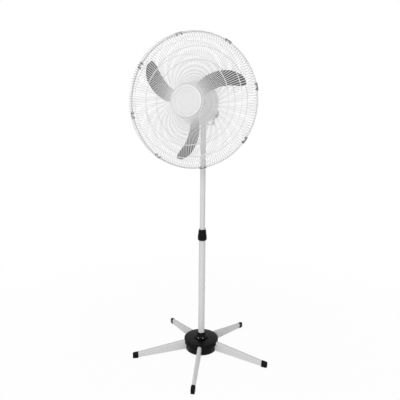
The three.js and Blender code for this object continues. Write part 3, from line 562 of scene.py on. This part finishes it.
leg_rows = np.array([leg_ring(leg_inner + 0.6, 0.8), leg_ring(leg_inner + 1.6), leg_ring(70.0)]
                    + [leg_ring(r) for r in np.linspace(80.0, leg_outer - 1.2, 12)]
                    + [leg_ring(leg_outer, 0.8)])
for k, angle in enumerate(leg_angles, 1):
    piece(f"pressed_leg_{k}", [skin(spun(leg_rows, angle))], "stand", white_paint, [f"leg_{k}"])

# %% [markdown]
# ## The foot caps
# A soft black boot is pushed over each leg's end. Its mouth has a rolled lip, and its toe is rounded off.
# The rings start on the floor of the pocket, run out along its inside, turn over the lip and come back over
# the outside.

# %% Foot caps
def boot_ring(r, half, low, high, cut):
    """A rounded ring across the leg, half as wide as it says."""
    ring = rounded([(-half, low, cut), (half, low, cut), (half, high - half / 2, 3.4), (half / 2, high, 3.0),
                    (-half / 2, high, 3.0), (-half, high - half / 2, 3.4)], steps=5)
    return np.column_stack([np.full(len(ring), r), ring])


mouth = foot_reach - cap_length
pocket = [(leg_outer + 0.4, 7.6, 1.6, 26.6), (mouth + 2, 8.1, 1.3, 28.2)]
outside = [(mouth + 0.3, 9.2, 0.6, 28.2), (mouth, 9.8, 0.3, 28.6), (mouth + 0.8, 10.25, 0, 29),
           (mouth + 3.4, 10.25, 0, 29), (mouth + 4.2, 9.85, 0, 28.4), (mouth + 16, 9.7, 0, 27.6),
           (foot_reach - 5, 9.3, 0, 26.6), (foot_reach - 2, 8.5, 0.5, 25.6),
           (foot_reach - 0.5, 7.0, 1.6, 24.0), (foot_reach, 5.2, 3.2, 21.6)]
boot = np.array([boot_ring(*row, 1.6) for row in pocket + outside])
for k, angle in enumerate(leg_angles, 1):
    piece(f"foot_boot_{k}", [skin(spun(boot, angle))], "stand", black_plastic, [f"foot_cap_{k}"])

# %% [markdown]
# ## The hub
# A drum holds the legs from below and a shallow lid closes it from above. Each has five gates for the legs.
# Cutting the gates with a Boolean would leave ragged edges, so each wall's height is a function of the
# angle instead: it drops at a gate, and the columns of points stand in pairs on both edges of it.

# %% Drum and lid
def gate_angles(radius, half_width):
    """Angles round the hub with a close pair on each side of every gate, and whether each lies in a
    gate."""
    half = math.asin(half_width / radius)
    between = 14
    angles, inside = [], []
    for leg in leg_angles:
        gate = np.linspace(leg - half, leg + half, 5)
        wall = np.linspace(leg + half + 0.004, leg + 2 * math.pi / 5 - half - 0.004, between)
        angles += [gate, wall]
        inside += [np.ones(5, bool), np.zeros(between, bool)]
    return np.concatenate(angles), np.concatenate(inside)


def gated(rows, angles, inside):
    """Rings where each row is (radius, height on the wall, height at a gate)."""
    rings = [np.column_stack([r * np.cos(angles), r * np.sin(angles), np.where(inside, gate, wall)])
             for r, wall, gate in rows]
    return np.array(rings)


drum_radius, drum_base, gate_half = 80.0, 18.0, 9.8
angles, inside = gate_angles(drum_radius, gate_half)
floor_top, wall_top, bore = 22.0, leg_top, 16.2
under = leg_top + 0.3
drum_rows = [(bore, drum_base, drum_base), (drum_radius - 6, drum_base, drum_base),
             (drum_radius - 2.5, 18.6, 18.6), (drum_radius - 0.6, 20.4, 20.4), (drum_radius, 22.2, 22.0),
             (drum_radius, wall_top - 0.5, 22.1), (drum_radius - 0.5, wall_top, 22.15),
             (drum_radius - 2.5, wall_top, 22.15), (drum_radius - 3, wall_top - 0.5, 22.1),
             (drum_radius - 3, floor_top + 1.5, 22.0),
             (drum_radius - 4.5, floor_top, 21.95), (24, floor_top, floor_top), (21.6, 24.5, 24.5),
             (21.2, wall_top, wall_top), (bore, wall_top, wall_top)]
piece("gated_drum", [skin(gated(drum_rows, angles, inside), loop=True)], "stand", black_plastic,
      ["hub_drum"])

angles, inside = gate_angles(lid_radius, gate_half)
edge_top, skirt = hub_high[2] - 3, hub_low[2]
lid_rows = [(bore, under, under), (lid_radius - 3, under, under),
            (lid_radius - 2.6, under - 0.2, under - 0.1), (lid_radius - 2.6, skirt + 0.4, under - 0.14),
            (lid_radius - 2.2, skirt, under - 0.18), (lid_radius - 0.4, skirt, under - 0.18),
            (lid_radius, skirt + 0.4, under - 0.14),
            (lid_radius, edge_top - 2.6, edge_top - 2.6), (lid_radius - 0.4, edge_top - 1.2, edge_top - 1.2),
            (lid_radius - 1.4, edge_top - 0.35, edge_top - 0.35), (lid_radius - 3, edge_top, edge_top),
            (60, edge_top + 1.5, edge_top + 1.5), (39, edge_top + 3, edge_top + 3),
            (bore, edge_top + 3, edge_top + 3)]
piece("gated_lid", [skin(gated(lid_rows, angles, inside), loop=True)], "stand", black_plastic,
      ["hub_lid"])

# %% [markdown]
# ## The column socket
# The tube stands in a small black trumpet whose foot is screwed to the lid. Its flare is one smooth curve,
# so its profile is a handful of points with a smooth route through them.

# %% Socket
socket_low, socket_high = span("column_socket")
seat = socket_low[2]
flare = smooth_route([(26.6, seat + 6.6), (25.2, seat + 9.0), (23.6, seat + 13.4), (22.3, seat + 19.0),
                      (21.4, socket_high[2] - 1.2)], 18)
flange = rounded([(bore, seat), (35, seat, 0.6), (35, seat + 6, 2.2), (28.5, seat + 6.1)], closed=False)
round_mouth = [(21.1, socket_high[2] - 0.4), (20.5, socket_high[2]), (bore, socket_high[2])]
trumpet = np.vstack([flange, flare, round_mouth])
piece("socket_trumpet", [turned(trumpet, 96, loop=True)], "stand", black_plastic, ["column_socket"])

# %% [markdown]
# ## Screws
# Every screw that shows has a low domed head with a cross in it. The head is a surface on rings: its height
# is one formula of the place, so the cross is pressed into it without any cutting.

# %% Screw heads and the socket's two screws
def screw_head(radius, height, base, at, line="column", way=1.0, slot_half=0.45, slot_depth=0.9):
    """A domed head with a cross recess: the height falls with the square of the radius, and drops by the
    slot's depth wherever the smaller of |x| and |y| is under the slot's half width and the larger under 0.7
    r."""
    cos, sin = circle_points(64)
    r = np.concatenate([[0], np.linspace(0.2, 1.0, 12)])[:, None] * radius
    x, y = r * cos, r * sin
    top = base + way * height * (1 - 0.55 * (r / radius) ** 2) * np.ones_like(x)
    cross = (np.minimum(abs(x), abs(y)) < slot_half) & (np.maximum(abs(x), abs(y)) < 0.68 * radius)
    top = np.where(cross, top - way * slot_depth, top)
    top[0] = base + way * (height - slot_depth)
    low = np.full_like(x[:1], base)
    rim = radius * np.stack([cos, sin], -1)[None]
    rings_x = np.vstack([x, rim[..., 0], 0 * rim[..., 0]])
    rings_y = np.vstack([y, rim[..., 1], 0 * rim[..., 1]])
    rings_h = np.vstack([top, low, low])
    if line == "column":
        rings = np.stack([at[0] + rings_x, at[1] + rings_y, rings_h], -1)
    elif line == "fan":
        rings = np.stack([at[0] + rings_x, rings_h, axis_height + at[1] + rings_y], -1)
    else:
        rings = np.stack([rings_h, at[0] + rings_x, at[1] + rings_y], -1)
    return skin(rings)


for k in (1, 2):
    low, high = span(f"socket_screw_{k}")
    middle = (low + high) / 2
    shank = turned([(0, low[2]), (1.6, low[2] + 0.6), (1.6, high[2] - 1.9), (0, high[2] - 1.9)], 16,
                   at=middle[:2])
    head = screw_head(3.2, 2.0, high[2] - 2.0, middle[:2])
    piece(f"socket_cross_screw_{k}", [shank, head], "stand", steel, [f"socket_screw_{k}"])

# %% [markdown]
# ## The column
# Two plain steel tubes, one inside the other, with a black collar that grips the inner one. What makes a
# plain tube look real is its rolled end and an even paint, so each is a turned ring with a small round at
# its mouth.

# %% Tubes, collar and bush
low, high = span("lower_tube")
lower_radius = (high[0] - low[0]) / 2
piece("lower_column_tube", [turned(rounded([
    (lower_radius - 1.5, low[2], 0.3), (lower_radius, low[2], 0.3), (lower_radius, high[2], 0.4),
    (lower_radius - 1.5, high[2], 0.4)]), 72, loop=True)], "stand", white_paint,
    ["lower_tube"])

low, high = span("upper_tube")
upper_radius = (high[0] - low[0]) / 2
piece("upper_column_tube", [turned(rounded([
    (upper_radius - 1.2, low[2], 0.3), (upper_radius, low[2], 0.3), (upper_radius, high[2], 0.4),
    (upper_radius - 1.2, high[2], 0.4)]), 72, loop=True)], "mast", white_paint, ["upper_tube"])

low, high = span("height_collar")
foot, top = low[2], high[2]
collar_profile = rounded([
    (16.4, foot, 0.4), (18.6, foot, 1.4), (21.8, foot + 4.4, 2.6), (22.4, foot + 9, 3.0),
    (22.0, foot + 21, 6), (19.9, foot + 34, 6), (18.7, top - 9, 2.0), (18.1, top - 8, 1.0),
    (17.5, top - 0.4, 0.5), (16.0, top, 0.3), (16.0, 614, 0.2), (16.4, 613.6, 0.2)])
flutes = 1 - 0.006 * (0.5 + 0.5 * np.cos(np.arange(144) * 2 * np.pi / 144 * 24)) ** 4
piece("grip_collar", [turned(collar_profile, 144, loop=True, wave=flutes)], "collar", black_plastic,
      ["height_collar"])

low, high = span("collar_bush")
lip = high[2]
piece("collar_sleeve", [turned(rounded([
    (13.0, low[2], 0.2), (14.1, low[2], 0.2), (14.1, 612.3), (15.7, 612.3), (15.7, lip - 3.6),
    (17.4, lip - 3.6, 0.5), (17.2, lip - 0.4, 1.4), (13.0, lip, 0.6)]), 72, loop=True)], "stand",
    white_plastic, ["collar_bush"])

# %% [markdown]
# ## The tilt knob
# A black knob with a small lever locks the tilt. The knob is turned with shallow lobes for the fingers, and
# the lever is a flat bar with rounded sides that leans back towards the yoke.

# %% Tilt knob, tilt pin and yoke screws
low, high = span("tilt_knob")
tilt_height = (span("tilt_pin")[0][2] + span("tilt_pin")[1][2]) / 2
knob_start = low[0]
lobes = 1 - 0.05 * (0.5 + 0.5 * np.cos(np.arange(96) * 2 * np.pi / 96 * 12)) ** 2
knob_profile = rounded([(0, knob_start), (7.8, knob_start, 0.5), (7.8, knob_start + 4, 0.4),
                        (12, knob_start + 4.2, 1.2), (12, knob_start + 16, 2.6), (8.4, knob_start + 18, 1.2),
                        (0, knob_start + 18)], closed=False)
lever_line = smooth_route([(knob_start + 14.5, 1.0), (knob_start + 17.6, 7.0), (knob_start + 13.4, 18.0),
                           (knob_start + 8.3, 26.0)], 16)
lever_width = np.interp(np.arange(16) / 15, [0, 0.3, 0.8, 1], [6.6, 6.0, 5.8, 4.6])
cos, sin = circle_points(20)
lever_rings = np.stack([
    lever_line[:, :1] + 3.0 + 3.0 * np.sign(cos) * abs(cos) ** 0.6 + 0 * sin,
    lever_width[:, None] * np.sign(sin) * abs(sin) ** 0.6 + 0 * cos,
    tilt_height + lever_line[:, 1:] + 0 * cos], -1)
piece("lever_knob", [turned(knob_profile, 96, "across", (0.0, tilt_height), wave=lobes), skin(lever_rings)],
      "tilt_lever", black_plastic, ["tilt_knob"])

low, high = span("tilt_pin")
pin_shank = turned([(0, low[0] + 3.6), (4, low[0] + 3.7), (4, high[0] - 0.5), (3.5, high[0]), (0, high[0])],
                   32, "across", (0.0, tilt_height))
pin_head = screw_head(7.0, 3.8, low[0] + 3.8, (0.0, tilt_height), "across", -1.0, 0.8, 1.4)
piece("tilt_cross_pin", [pin_shank, pin_head], "tilt_head", steel, ["tilt_pin"])
for k, (side, z) in enumerate([(-9.5, 1163.0), (9.5, 1163.0), (0.0, 1145.0)], 1):
    head = screw_head(4.2, 2.4, 49.9, (side, z), "across", 1.0, 0.5, 0.9)
    piece(f"yoke_screw_{k}", [head], "mast", dark_steel)

# %% [markdown]
# ## The wire cage
# Each guard is a spider of thin welded wires: a thick rim, two rings, a centre ring and well over a hundred
# spokes. Modelled spokes of a few faces each are cheap and throw true shadows, which a see-through texture
# would not. One spoke is swept along a smooth route of radius and depth, and the rest are turned copies of
# it.

# %% Spokes and rings
clip_low, clip_high = span("guard_clip_1")
rim_y = (clip_low[1] + clip_high[1]) / 2
guard_radius = 280.0
rim_wire, ring_wire, spoke_wire = 2.5, 1.5, 1.05
rim_radius, rim_gap = guard_radius - rim_wire, 2.8
inner_ring, outer_ring = 177.0, 229.0
spoke_count = 160


def wire(route, radius, sides=6, count=14):
    """A round wire in the plane of the axis: at each (r, depth) of the route a small circle stands square
    to the route's direction."""
    line = smooth_route(route, count)
    along = np.gradient(line, axis=0)
    along /= np.linalg.norm(along, axis=1)[:, None]
    square = np.column_stack([-along[:, 1], along[:, 0]])
    cos, sin = circle_points(sides)
    r = line[:, :1] + radius * square[:, :1] * cos
    y = rim_y - (line[:, 1:] + radius * square[:, 1:] * cos)
    return skin(np.stack([r, y, axis_height + radius * sin + 0 * r], -1))


def hoop(ring_radius, d, radius, sides=10, steps=180):
    """A ring of wire about the fan's axis, d in front of the plane where the guards meet."""
    around, across = circle_points(steps), circle_points(sides)
    r = ring_radius + radius * across[0][None]
    y = rim_y - d - radius * across[1][None] + 0 * around[0][:, None]
    return skin(np.stack([r * around[0][:, None], y, axis_height + r * around[1][:, None]], -1), loop=True)


badge_low, badge_high = span("badge")
badge_radius = (badge_high[0] - badge_low[0]) / 2
badge_depth = rim_y - badge_low[1]
centre_ring = badge_radius + 2.3
front_route = [(rim_radius, rim_gap), (277.0, 14.0), (272.5, 33.0), (258.0, 55.5), (outer_ring, 67.2),
               (inner_ring, 69.0), (120.0, 66.4), (90.0, 63.4), (centre_ring, badge_depth - 4.4)]
front_wires = copies(wire(front_route, spoke_wire), spoke_count, 0.011)
front_hoops = [hoop(rim_radius, rim_gap, rim_wire, 12), hoop(centre_ring, badge_depth - 6.6, 2.0),
               hoop(inner_ring, 66.4, ring_wire), hoop(outer_ring, 64.6, ring_wire)]
piece("front_wire_guard", [front_wires, *front_hoops], "fan_head", painted_light_wire_paint, ["front_guard"],
      60)

seat_y = span("rear_guard")[1][1]
rear_route = [(rim_radius, -rim_gap), (276.0, -11.0), (268.5, -26.5), (244.0, -42.5), (inner_ring, -46.0),
              (130.0, -49.5), (87.0, rim_y - seat_y + 1.8)]
rear_wires = copies(wire(rear_route, spoke_wire), spoke_count, 0.02)
rear_hoops = [hoop(rim_radius, -rim_gap, rim_wire, 12), hoop(inner_ring, -43.4, ring_wire),
              hoop(outer_ring, -41.5, ring_wire)]
bead = turned(rounded([(76, seat_y - 2.2, 0.4), (79, seat_y - 3.0, 0.6), (81.5, seat_y - 1.9, 0.6),
                       (86.5, seat_y - 1.9, 0.6), (88.5, seat_y - 3.0, 0.5), (90, seat_y - 2.2, 0.5),
                       (90, seat_y, 0.3), (76, seat_y, 0.3)]), 120, "fan", loop=True)
piece("rear_wire_guard", [rear_wires, *rear_hoops, bead], "fan_head", painted_light_wire_paint, ["rear_guard"],
      60)
bead_middle = 84
for k in range(4):
    angle = math.radians(30 + 90 * k)
    spot = (bead_middle * math.cos(angle), bead_middle * math.sin(angle))
    head = screw_head(3.4, 2.2, seat_y - 1.9, spot, "fan", -1.0, 0.5, 1.0)
    piece(f"guard_screw_{k + 1}", [head], "fan_head", steel)

# %% [markdown]
# ## The clips
# Eight grey channels snap over both rims from outside. Each is a bent strip: its cross-section is a U with
# rounded corners, carried a short way round the rim.

# %% Clips
def clip_shape(angle, length=28.6):
    """The U section, in radius and depth, carried along an arc of the rim's circle. Its cheeks are long at
    both ends, where they snap on, and short between; the very ends are drawn in a little so that they look
    moulded."""
    inside, wall, cheek = guard_radius + 0.3, 1.9, 5.6
    half = length / 2 / guard_radius
    share = np.array([-1.0, -0.97, -0.9, -0.5, -0.42, 0.42, 0.5, 0.9, 0.97, 1.0])
    rings = []
    for part in share:
        thin = 0.45 * max(abs(part) - 0.9, 0) / 0.1
        reach = 7.4 if abs(part) > 0.46 else 1.2
        section = rounded([
            (guard_radius - reach, -cheek, 0.3), (inside, -cheek, 0.8), (inside, cheek, 0.8),
            (guard_radius - reach, cheek, 0.3), (guard_radius - reach, cheek + wall - thin, 0.8),
            (inside + wall - thin, cheek + wall - thin, 2.0),
            (inside + wall - thin, -cheek - wall + thin, 2.0),
            (guard_radius - reach, -cheek - wall + thin, 0.8)], steps=3)
        at = angle + part * half
        rings.append(np.column_stack([section[:, 0] * math.cos(at), rim_y + section[:, 1],
                                      axis_height + section[:, 0] * math.sin(at)]))
    return skin(rings)


for k in range(8):
    angle = math.radians(101.3 - 45 * k)
    piece(f"rim_clip_{k + 1}", [clip_shape(angle)], "fan_head", clip_plastic, [f"guard_clip_{k + 1}"])

# %% [markdown]
# ## The badge
# A plain white disc closes the front guard's middle. It is turned: a sloping edge, two raised bands with a
# groove between them, and a face that sits a little lower with a soft dome. It carries no mark. A grey band
# behind it grips the inner ends of the wires; its grey is painted shade, standing for the badge's side wall
# in shadow.

# %% Badge
front, back = badge_low[1], badge_high[1]
dome_radius = np.linspace(38, 0, 14)
dome = np.column_stack([dome_radius, front + 1.6 - 0.9 * (1 - (dome_radius / 38) ** 2)])
badge_profile = np.vstack([
    rounded([(0, back), (badge_radius - 4, back), (badge_radius - 4, front + 3.0),
             (badge_radius, front + 3.0, 0.4), (badge_radius, front + 2.6, 1.2),
             (badge_radius - 5, front + 1.0, 3.0), (54.5, front + 0.1, 1.2), (52, front + 2.2, 0.9),
             (48.5, front + 0.3, 1.2), (42, front + 0.2, 1.2), (39, front + 1.6)],
            closed=False, steps=6), dome])
piece("badge_disc", [turned(badge_profile, 128, "fan")], "fan_head", white_plastic, ["badge"])
# painted shade: this grey ring at the badge's edge stands for the shadow on the badge's side wall
shade_band_profile = rounded([(badge_radius - 3.7, back, 0.3), (badge_radius - 0.6, back, 0.6),
                        (badge_radius, front + 3.3, 0.2), (badge_radius - 3.7, front + 3.3, 0.2)])
piece("badge_shade_band", [turned(shade_band_profile, 128, "fan", loop=True)], "fan_head", clip_plastic)

# %% [markdown]
# ## The propeller
# Three swept blades grow out of a deep hub. A blade is a lens-shaped section that turns and flattens as it
# goes outward, so it is a function of two numbers: s from root to tip, and the angle round the lens. The
# chord swells, then closes on an ellipse at the tip, and the skin thickens where it meets the hub.

# %% Blades and hub
tip_radius, root_radius, blade_plane = 246.0, 60.0, 16.0


def blade_shape(stations=64, around=36):
    """r = root to tip; middle angle = 18 + 29 (1 - s^1.25) degrees; chord = 44 + 20 sin of a quarter turn,
    times an ellipse beyond three quarters; lift = across tan(pitch) less a camber of 5% of the chord; the
    section's half thickness falls to nothing at both edges."""
    s = 0.985 * (1 - (1 - np.linspace(0, 1, stations)) ** 1.5)[:, None]
    turn = np.arange(around) * 2 * np.pi / around
    across, side = np.cos(turn)[None], np.sin(turn)[None]
    r = root_radius + (tip_radius - root_radius) * s
    middle = np.radians(18 + 29 * (1 - s**1.25))
    taper = np.sqrt(np.clip(1 - (np.clip(s - 0.75, 0, 1) / 0.25) ** 2, 0, 1))
    chord = (44 + 20 * np.sin(np.pi / 2 * np.minimum(s / 0.7, 1))) * taper
    pitch_angle = np.radians(38 - 15 * s)
    half = 1.2 + 2.2 * np.exp(-s / 0.03)
    reach = across * chord / 2
    camber = 0.05 * chord * (1 - across**2)
    lift = blade_plane + reach * np.tan(pitch_angle) - camber + half * side * abs(side) ** 0.2
    angle = middle + reach / r
    return skin(np.stack([r * np.cos(angle), rim_y - lift, axis_height + r * np.sin(angle)], -1))


low, high = span("propeller")
hub_radius, hub_front = 62.0, low[1]
hub_profile = rounded([
    (5.3, hub_front, 0.4), (hub_radius - 9, hub_front, 3), (hub_radius - 2, hub_front + 2.6, 4),
    (hub_radius, hub_front + 8, 3), (hub_radius, rim_y, 0.8), (hub_radius - 3, rim_y, 0.8),
    (hub_radius - 3, hub_front + 7, 2), (13, hub_front + 6, 1.5), (13, rim_y - 1, 0.5), (5.3, rim_y, 0.4)],
    steps=6)
blade = blade_shape()
piece("swept_propeller", [turned(hub_profile, 128, "fan", loop=True), copies(blade, 3)], "rotating_group",
      blade_plastic, ["propeller"], 40)

low, high = span("propeller_nut")
grips = 1 - 0.05 * (0.5 + 0.5 * np.cos(np.arange(96) * 2 * np.pi / 96 * 8)) ** 3
nut_profile = rounded([(0, low[1]), (8, low[1], 2), (12.4, low[1] + 2, 2), (14, low[1] + 5, 1.5),
                       (14, high[1], 0.5), (0, high[1])], closed=False)
piece("spinner_nut", [turned(nut_profile, 96, "fan", wave=grips)], "rotating_group", black_plastic,
      ["propeller_nut"])

# %% [markdown]
# ## The motor
# A drum between two plates. The drum and the front plate, which shows behind the blades, are painted, and
# the back plate is a bare casting. All three are turned, with many more sides than the CAD has, because a
# round edge against a white ground shows every flat.

# %% Motor plates and housing
low, high = span("motor_front_plate")
plate_front, plate_back = low[1] + 4, low[1] + 8
face_profile = rounded([
    (12.3, low[1], 0.3), (18.3, low[1], 1.2), (19.4, plate_front, 1.2), (60, plate_front, 1.5),
    (62, plate_front + 0.8, 1), (70, plate_front + 0.8, 1), (72, plate_front, 1.5),
    (motor_radius - 7.5, plate_front, 2.0), (motor_radius - 0.3, plate_back - 0.5, 0.6),
    (motor_radius, plate_back, 0.1), (70, plate_back, 0.5), (70, high[1], 0.5), (66, high[1], 0.5),
    (66, plate_back, 0.5), (18.3, plate_back, 0.5), (18.3, plate_front + 10, 0.3),
    (12.3, plate_front + 10, 0.3)])
piece("motor_face", [turned(face_profile, 128, "fan", loop=True)], "fan_head", motor_paint,
      ["motor_front_plate"])

low, high = span("motor_housing")
housing_profile = rounded([
    (motor_radius - 3, low[1], 0.3), (motor_radius, low[1], 0.8), (motor_radius, low[1] + 9, 0.6),
    (motor_radius - 1.2, low[1] + 10, 0.5), (motor_radius - 1.2, low[1] + 12, 0.5),
    (motor_radius, low[1] + 13, 0.6), (motor_radius, high[1] - 9, 6.0),
    (motor_radius - 3, high[1] - 1.4, 3.0), (motor_radius - 9, high[1], 3.0), (70.3, high[1], 0.3),
    (70.3, high[1] - 4, 0.3), (motor_radius - 8, high[1] - 4, 2.0), (motor_radius - 3, high[1] - 8, 2.0)],
    steps=5)
piece("motor_drum", [turned(housing_profile, 128, "fan", loop=True)], "fan_head", motor_paint,
      ["motor_housing"])

low, high = span("motor_rear_plate")
rear = high[1] - 6
back_profile = rounded([
    (12.3, rear - 8, 0.3), (18.3, rear - 8, 0.3), (18.3, rear - 4, 0.3), (66, rear - 4, 0.3),
    (66, low[1], 0.3), (70, low[1], 0.3), (70, rear, 0.8), (58, rear, 1.2), (56, rear - 1, 1.2),
    (30, rear - 1, 1.2), (28, rear, 1.2), (18.3, rear, 0.8), (18.3, high[1], 0.8), (12.3, high[1], 0.4)])
piece("motor_back", [turned(back_profile, 128, "fan", loop=True)], "fan_head", cast_alloy,
      ["motor_rear_plate"])

# %% [markdown]
# ## Hood and knobs at the back
# The hood hides the oscillating gearbox. Its CAD shape is right, so a copy of it only gets rounded edges,
# and the same goes for the yoke, the tilt block and the gearbox. The two knobs on it are turned again with
# finger grips.

# %% Rounded copies and knobs
softened("neck_yoke", "mast", motor_paint, 0.9)
softened("tilt_block", "tilt_head", cast_alloy, 0.8)
softened("gearbox_case", "fan_head", cast_alloy, 1.0)
softened("gearbox_lid", "fan_head", cast_alloy, 0.6)
softened("rear_hood", "fan_head", motor_paint, 0.6)
softened("capacitor", "fan_head", white_plastic, 1.0)

low, high = span("clutch_knob")
middle = (low + high) / 2
knob_wave = 1 - 0.06 * (0.5 + 0.5 * np.cos(np.arange(96) * 2 * np.pi / 96 * 16)) ** 2
stem = turned([(0, low[2]), (3, low[2] + 0.4), (3, high[2] - 17), (0, high[2] - 17)], 32, at=middle[:2])
grip_profile = rounded([(0, high[2] - 18), (7, high[2] - 18, 0.8), (8, high[2] - 15, 1.5),
                        (7.2, high[2] - 9, 4), (8, high[2] - 4, 1.5), (6, high[2], 2.5), (0, high[2])],
                       closed=False, steps=5)
grip = turned(grip_profile, 96, at=middle[:2], wave=knob_wave)
piece("pull_knob", [stem, grip], "clutch_pull_knob", black_plastic, ["clutch_knob"])

low, high = span("speed_knob")
middle = (low + high) / 2
dial_wave = 1 - 0.04 * (0.5 + 0.5 * np.cos(np.arange(120) * 2 * np.pi / 120 * 24)) ** 2
dial_profile = rounded([(0, low[1]), (3, low[1], 0.3), (3, high[1] - 13), (13, high[1] - 13, 0.8),
                        (12.2, high[1] - 4, 1.0), (10, high[1] - 3, 0.8), (0, high[1] - 3)], closed=False)
dial = turned(dial_profile, 120, "fan", (0.0, middle[2] - axis_height), wave=dial_wave)
cos, sin = circle_points(24)
bar_rows = [(high[1] - 3.5, 3.0, 11.0), (high[1] - 1.0, 2.8, 10.8), (high[1] - 0.3, 2.3, 10.2),
            (high[1], 1.4, 9.2)]
bar = skin([np.column_stack([half * np.sign(cos) * abs(cos) ** 0.5, np.full(24, y),
                             middle[2] + tall * np.sign(sin) * abs(sin) ** 0.5])
            for y, half, tall in bar_rows])
piece("speed_dial", [dial, bar], "speed_control", black_plastic, ["speed_knob"])

# %% [markdown]
# ## The CAD nodes that stay
# Shafts, gears and the parts inside the motor already have the right shape. They only need their metal.

# %% Finishes for the CAD nodes
kept = {
    steel: ["oscillation_pin", "pin_retainer", "tilt_bolt", "crank_gear", "link_rod", "motor_shaft"],
    cast_alloy: ["rotor"],
    lamination: ["stator"],
    brass: ["front_bearing", "rear_bearing", "worm_wheel"],
    black_plastic: ["tube_glide", "speed_switch", "cord_bush"],
}
for finish, names in kept.items():
    for name in names:
        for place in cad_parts[name].material_slots:
            place.material = finish
shown = [name for name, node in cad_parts.items() if not node.hide_render]
dressed = [name for names in kept.values() for name in names]
print("CAD nodes still shown:", len(shown), " without a finish:", sorted(set(shown) - set(dressed)))

# %% [markdown]
# ## The floor
# The fan stands on a wide pale sheet, as for a catalogue. For rays from the camera the sheet's matt white
# is mixed with plain white light, so that it fades into the ground behind and still keeps a faint shadow.

# %% Floor
def sweep_material():
    """White where the camera, a mirror or glass looks: a share of that mask, which grows from 0.95 near the
    fan to 1 two metres out, mixes matt white with light 1. So the shadow stays and the horizon goes."""
    made = Finish("studio_floor", Roughness=0.9)
    distance = made.node("ShaderNodeVectorMath", {"operation": "LENGTH"}, {0: made.place}, output="Value")
    share = made.ramp(distance * 0.25, (0.15, 0.95), (0.5, 1.0))
    paper = made.between(made.noise(4.0, 2.0), grey(250), grey(253))
    made.feed(Base_Color=paper)
    rays = made.tree.nodes.new("ShaderNodeLightPath")
    seen = Amount(made, rays.outputs["Is Camera Ray"]) + Amount(made, rays.outputs["Is Glossy Ray"])
    seen = seen + Amount(made, rays.outputs["Is Transmission Ray"])
    light = made.node("ShaderNodeEmission", {}, {"Color": (1, 1, 1, 1), "Strength": 1.0})
    matt = Amount(made, made.shader.outputs[0])
    both = made.node("ShaderNodeMixShader", {}, {0: seen * share, 1: matt, 2: light})
    output = next(node for node in made.tree.nodes if node.type == "OUTPUT_MATERIAL")
    made.tree.links.new(both.socket, output.inputs[0])
    return made.material


reach = 14.0
edge = np.linspace(-reach, reach, 9)
gx, gy = np.meshgrid(edge, edge, indexing="ij")
sheet_points = np.stack([gx, gy, np.zeros_like(gx)], -1).reshape(-1, 3)
cell = np.arange(81).reshape(9, 9)
sheet_faces = np.stack([cell[:-1, :-1], cell[1:, :-1], cell[1:, 1:], cell[:-1, 1:]], -1).reshape(-1, 4)
floor_mesh = bpy.data.meshes.new("floor")
floor_mesh.from_pydata(sheet_points.tolist(), [], sheet_faces.tolist())
floor_mesh.materials.append(sweep_material())
floor = bpy.data.objects.new("floor", floor_mesh)
bpy.context.collection.objects.link(floor)
print("floor:", len(sheet_faces), "faces")

# %% [markdown]
# ## The light
# The world gives an even fill, and it looks white to the camera, to gloss and through glass. A wide lamp in
# front and a weaker one at the side model the round shapes, and one above lifts the tops of the legs and
# the hub.

# %% World and lamps
world = bpy.data.worlds.new("studio")
bpy.context.scene.world = world
world.use_nodes = True
nodes, links = world.node_tree.nodes, world.node_tree.links
nodes.clear()
rays = nodes.new("ShaderNodeLightPath")
seen_by_camera, seen_by_gloss, seen_through = (rays.outputs[key] for key in (
    "Is Camera Ray", "Is Glossy Ray", "Is Transmission Ray"))
add_gloss, add_glass = nodes.new("ShaderNodeMath"), nodes.new("ShaderNodeMath")
links.new(seen_by_camera, add_gloss.inputs[0])
links.new(seen_by_gloss, add_gloss.inputs[1])
links.new(add_gloss.outputs[0], add_glass.inputs[0])
links.new(seen_through, add_glass.inputs[1])
fill, ground = nodes.new("ShaderNodeBackground"), nodes.new("ShaderNodeBackground")
fill.inputs["Color"].default_value = (1, 1, 1, 1)
fill.inputs["Strength"].default_value = 0.48
ground.inputs["Color"].default_value = (1, 1, 1, 1)
ground.inputs["Strength"].default_value = 1.0
mix, out = nodes.new("ShaderNodeMixShader"), nodes.new("ShaderNodeOutputWorld")
links.new(add_glass.outputs[0], mix.inputs[0])
links.new(fill.outputs[0], mix.inputs[1])
links.new(ground.outputs[0], mix.inputs[2])
links.new(mix.outputs[0], out.inputs[0])


def softbox(name, place, size, power, target=(0.0, -0.1, 0.85)):
    """A square lamp that looks at a point of the fan."""
    lamp = bpy.data.lights.new(name, "AREA")
    lamp.shape, lamp.size, lamp.energy = "SQUARE", size, power
    made = bpy.data.objects.new(name, lamp)
    aim = Vector(target) - Vector(place)
    made.matrix_world = Matrix.Translation(place) @ aim.to_track_quat("-Z", "Y").to_matrix().to_4x4()
    bpy.context.collection.objects.link(made)
    return made


softbox("key", (0.5, -3.3, 1.7), 1.6, 44)
softbox("side", (-2.4, -2.0, 2.0), 1.4, 8)
softbox("top", (0.2, -0.6, 3.8), 2.2, 15)
scene = bpy.context.scene
scene.view_settings.view_transform = "Standard"
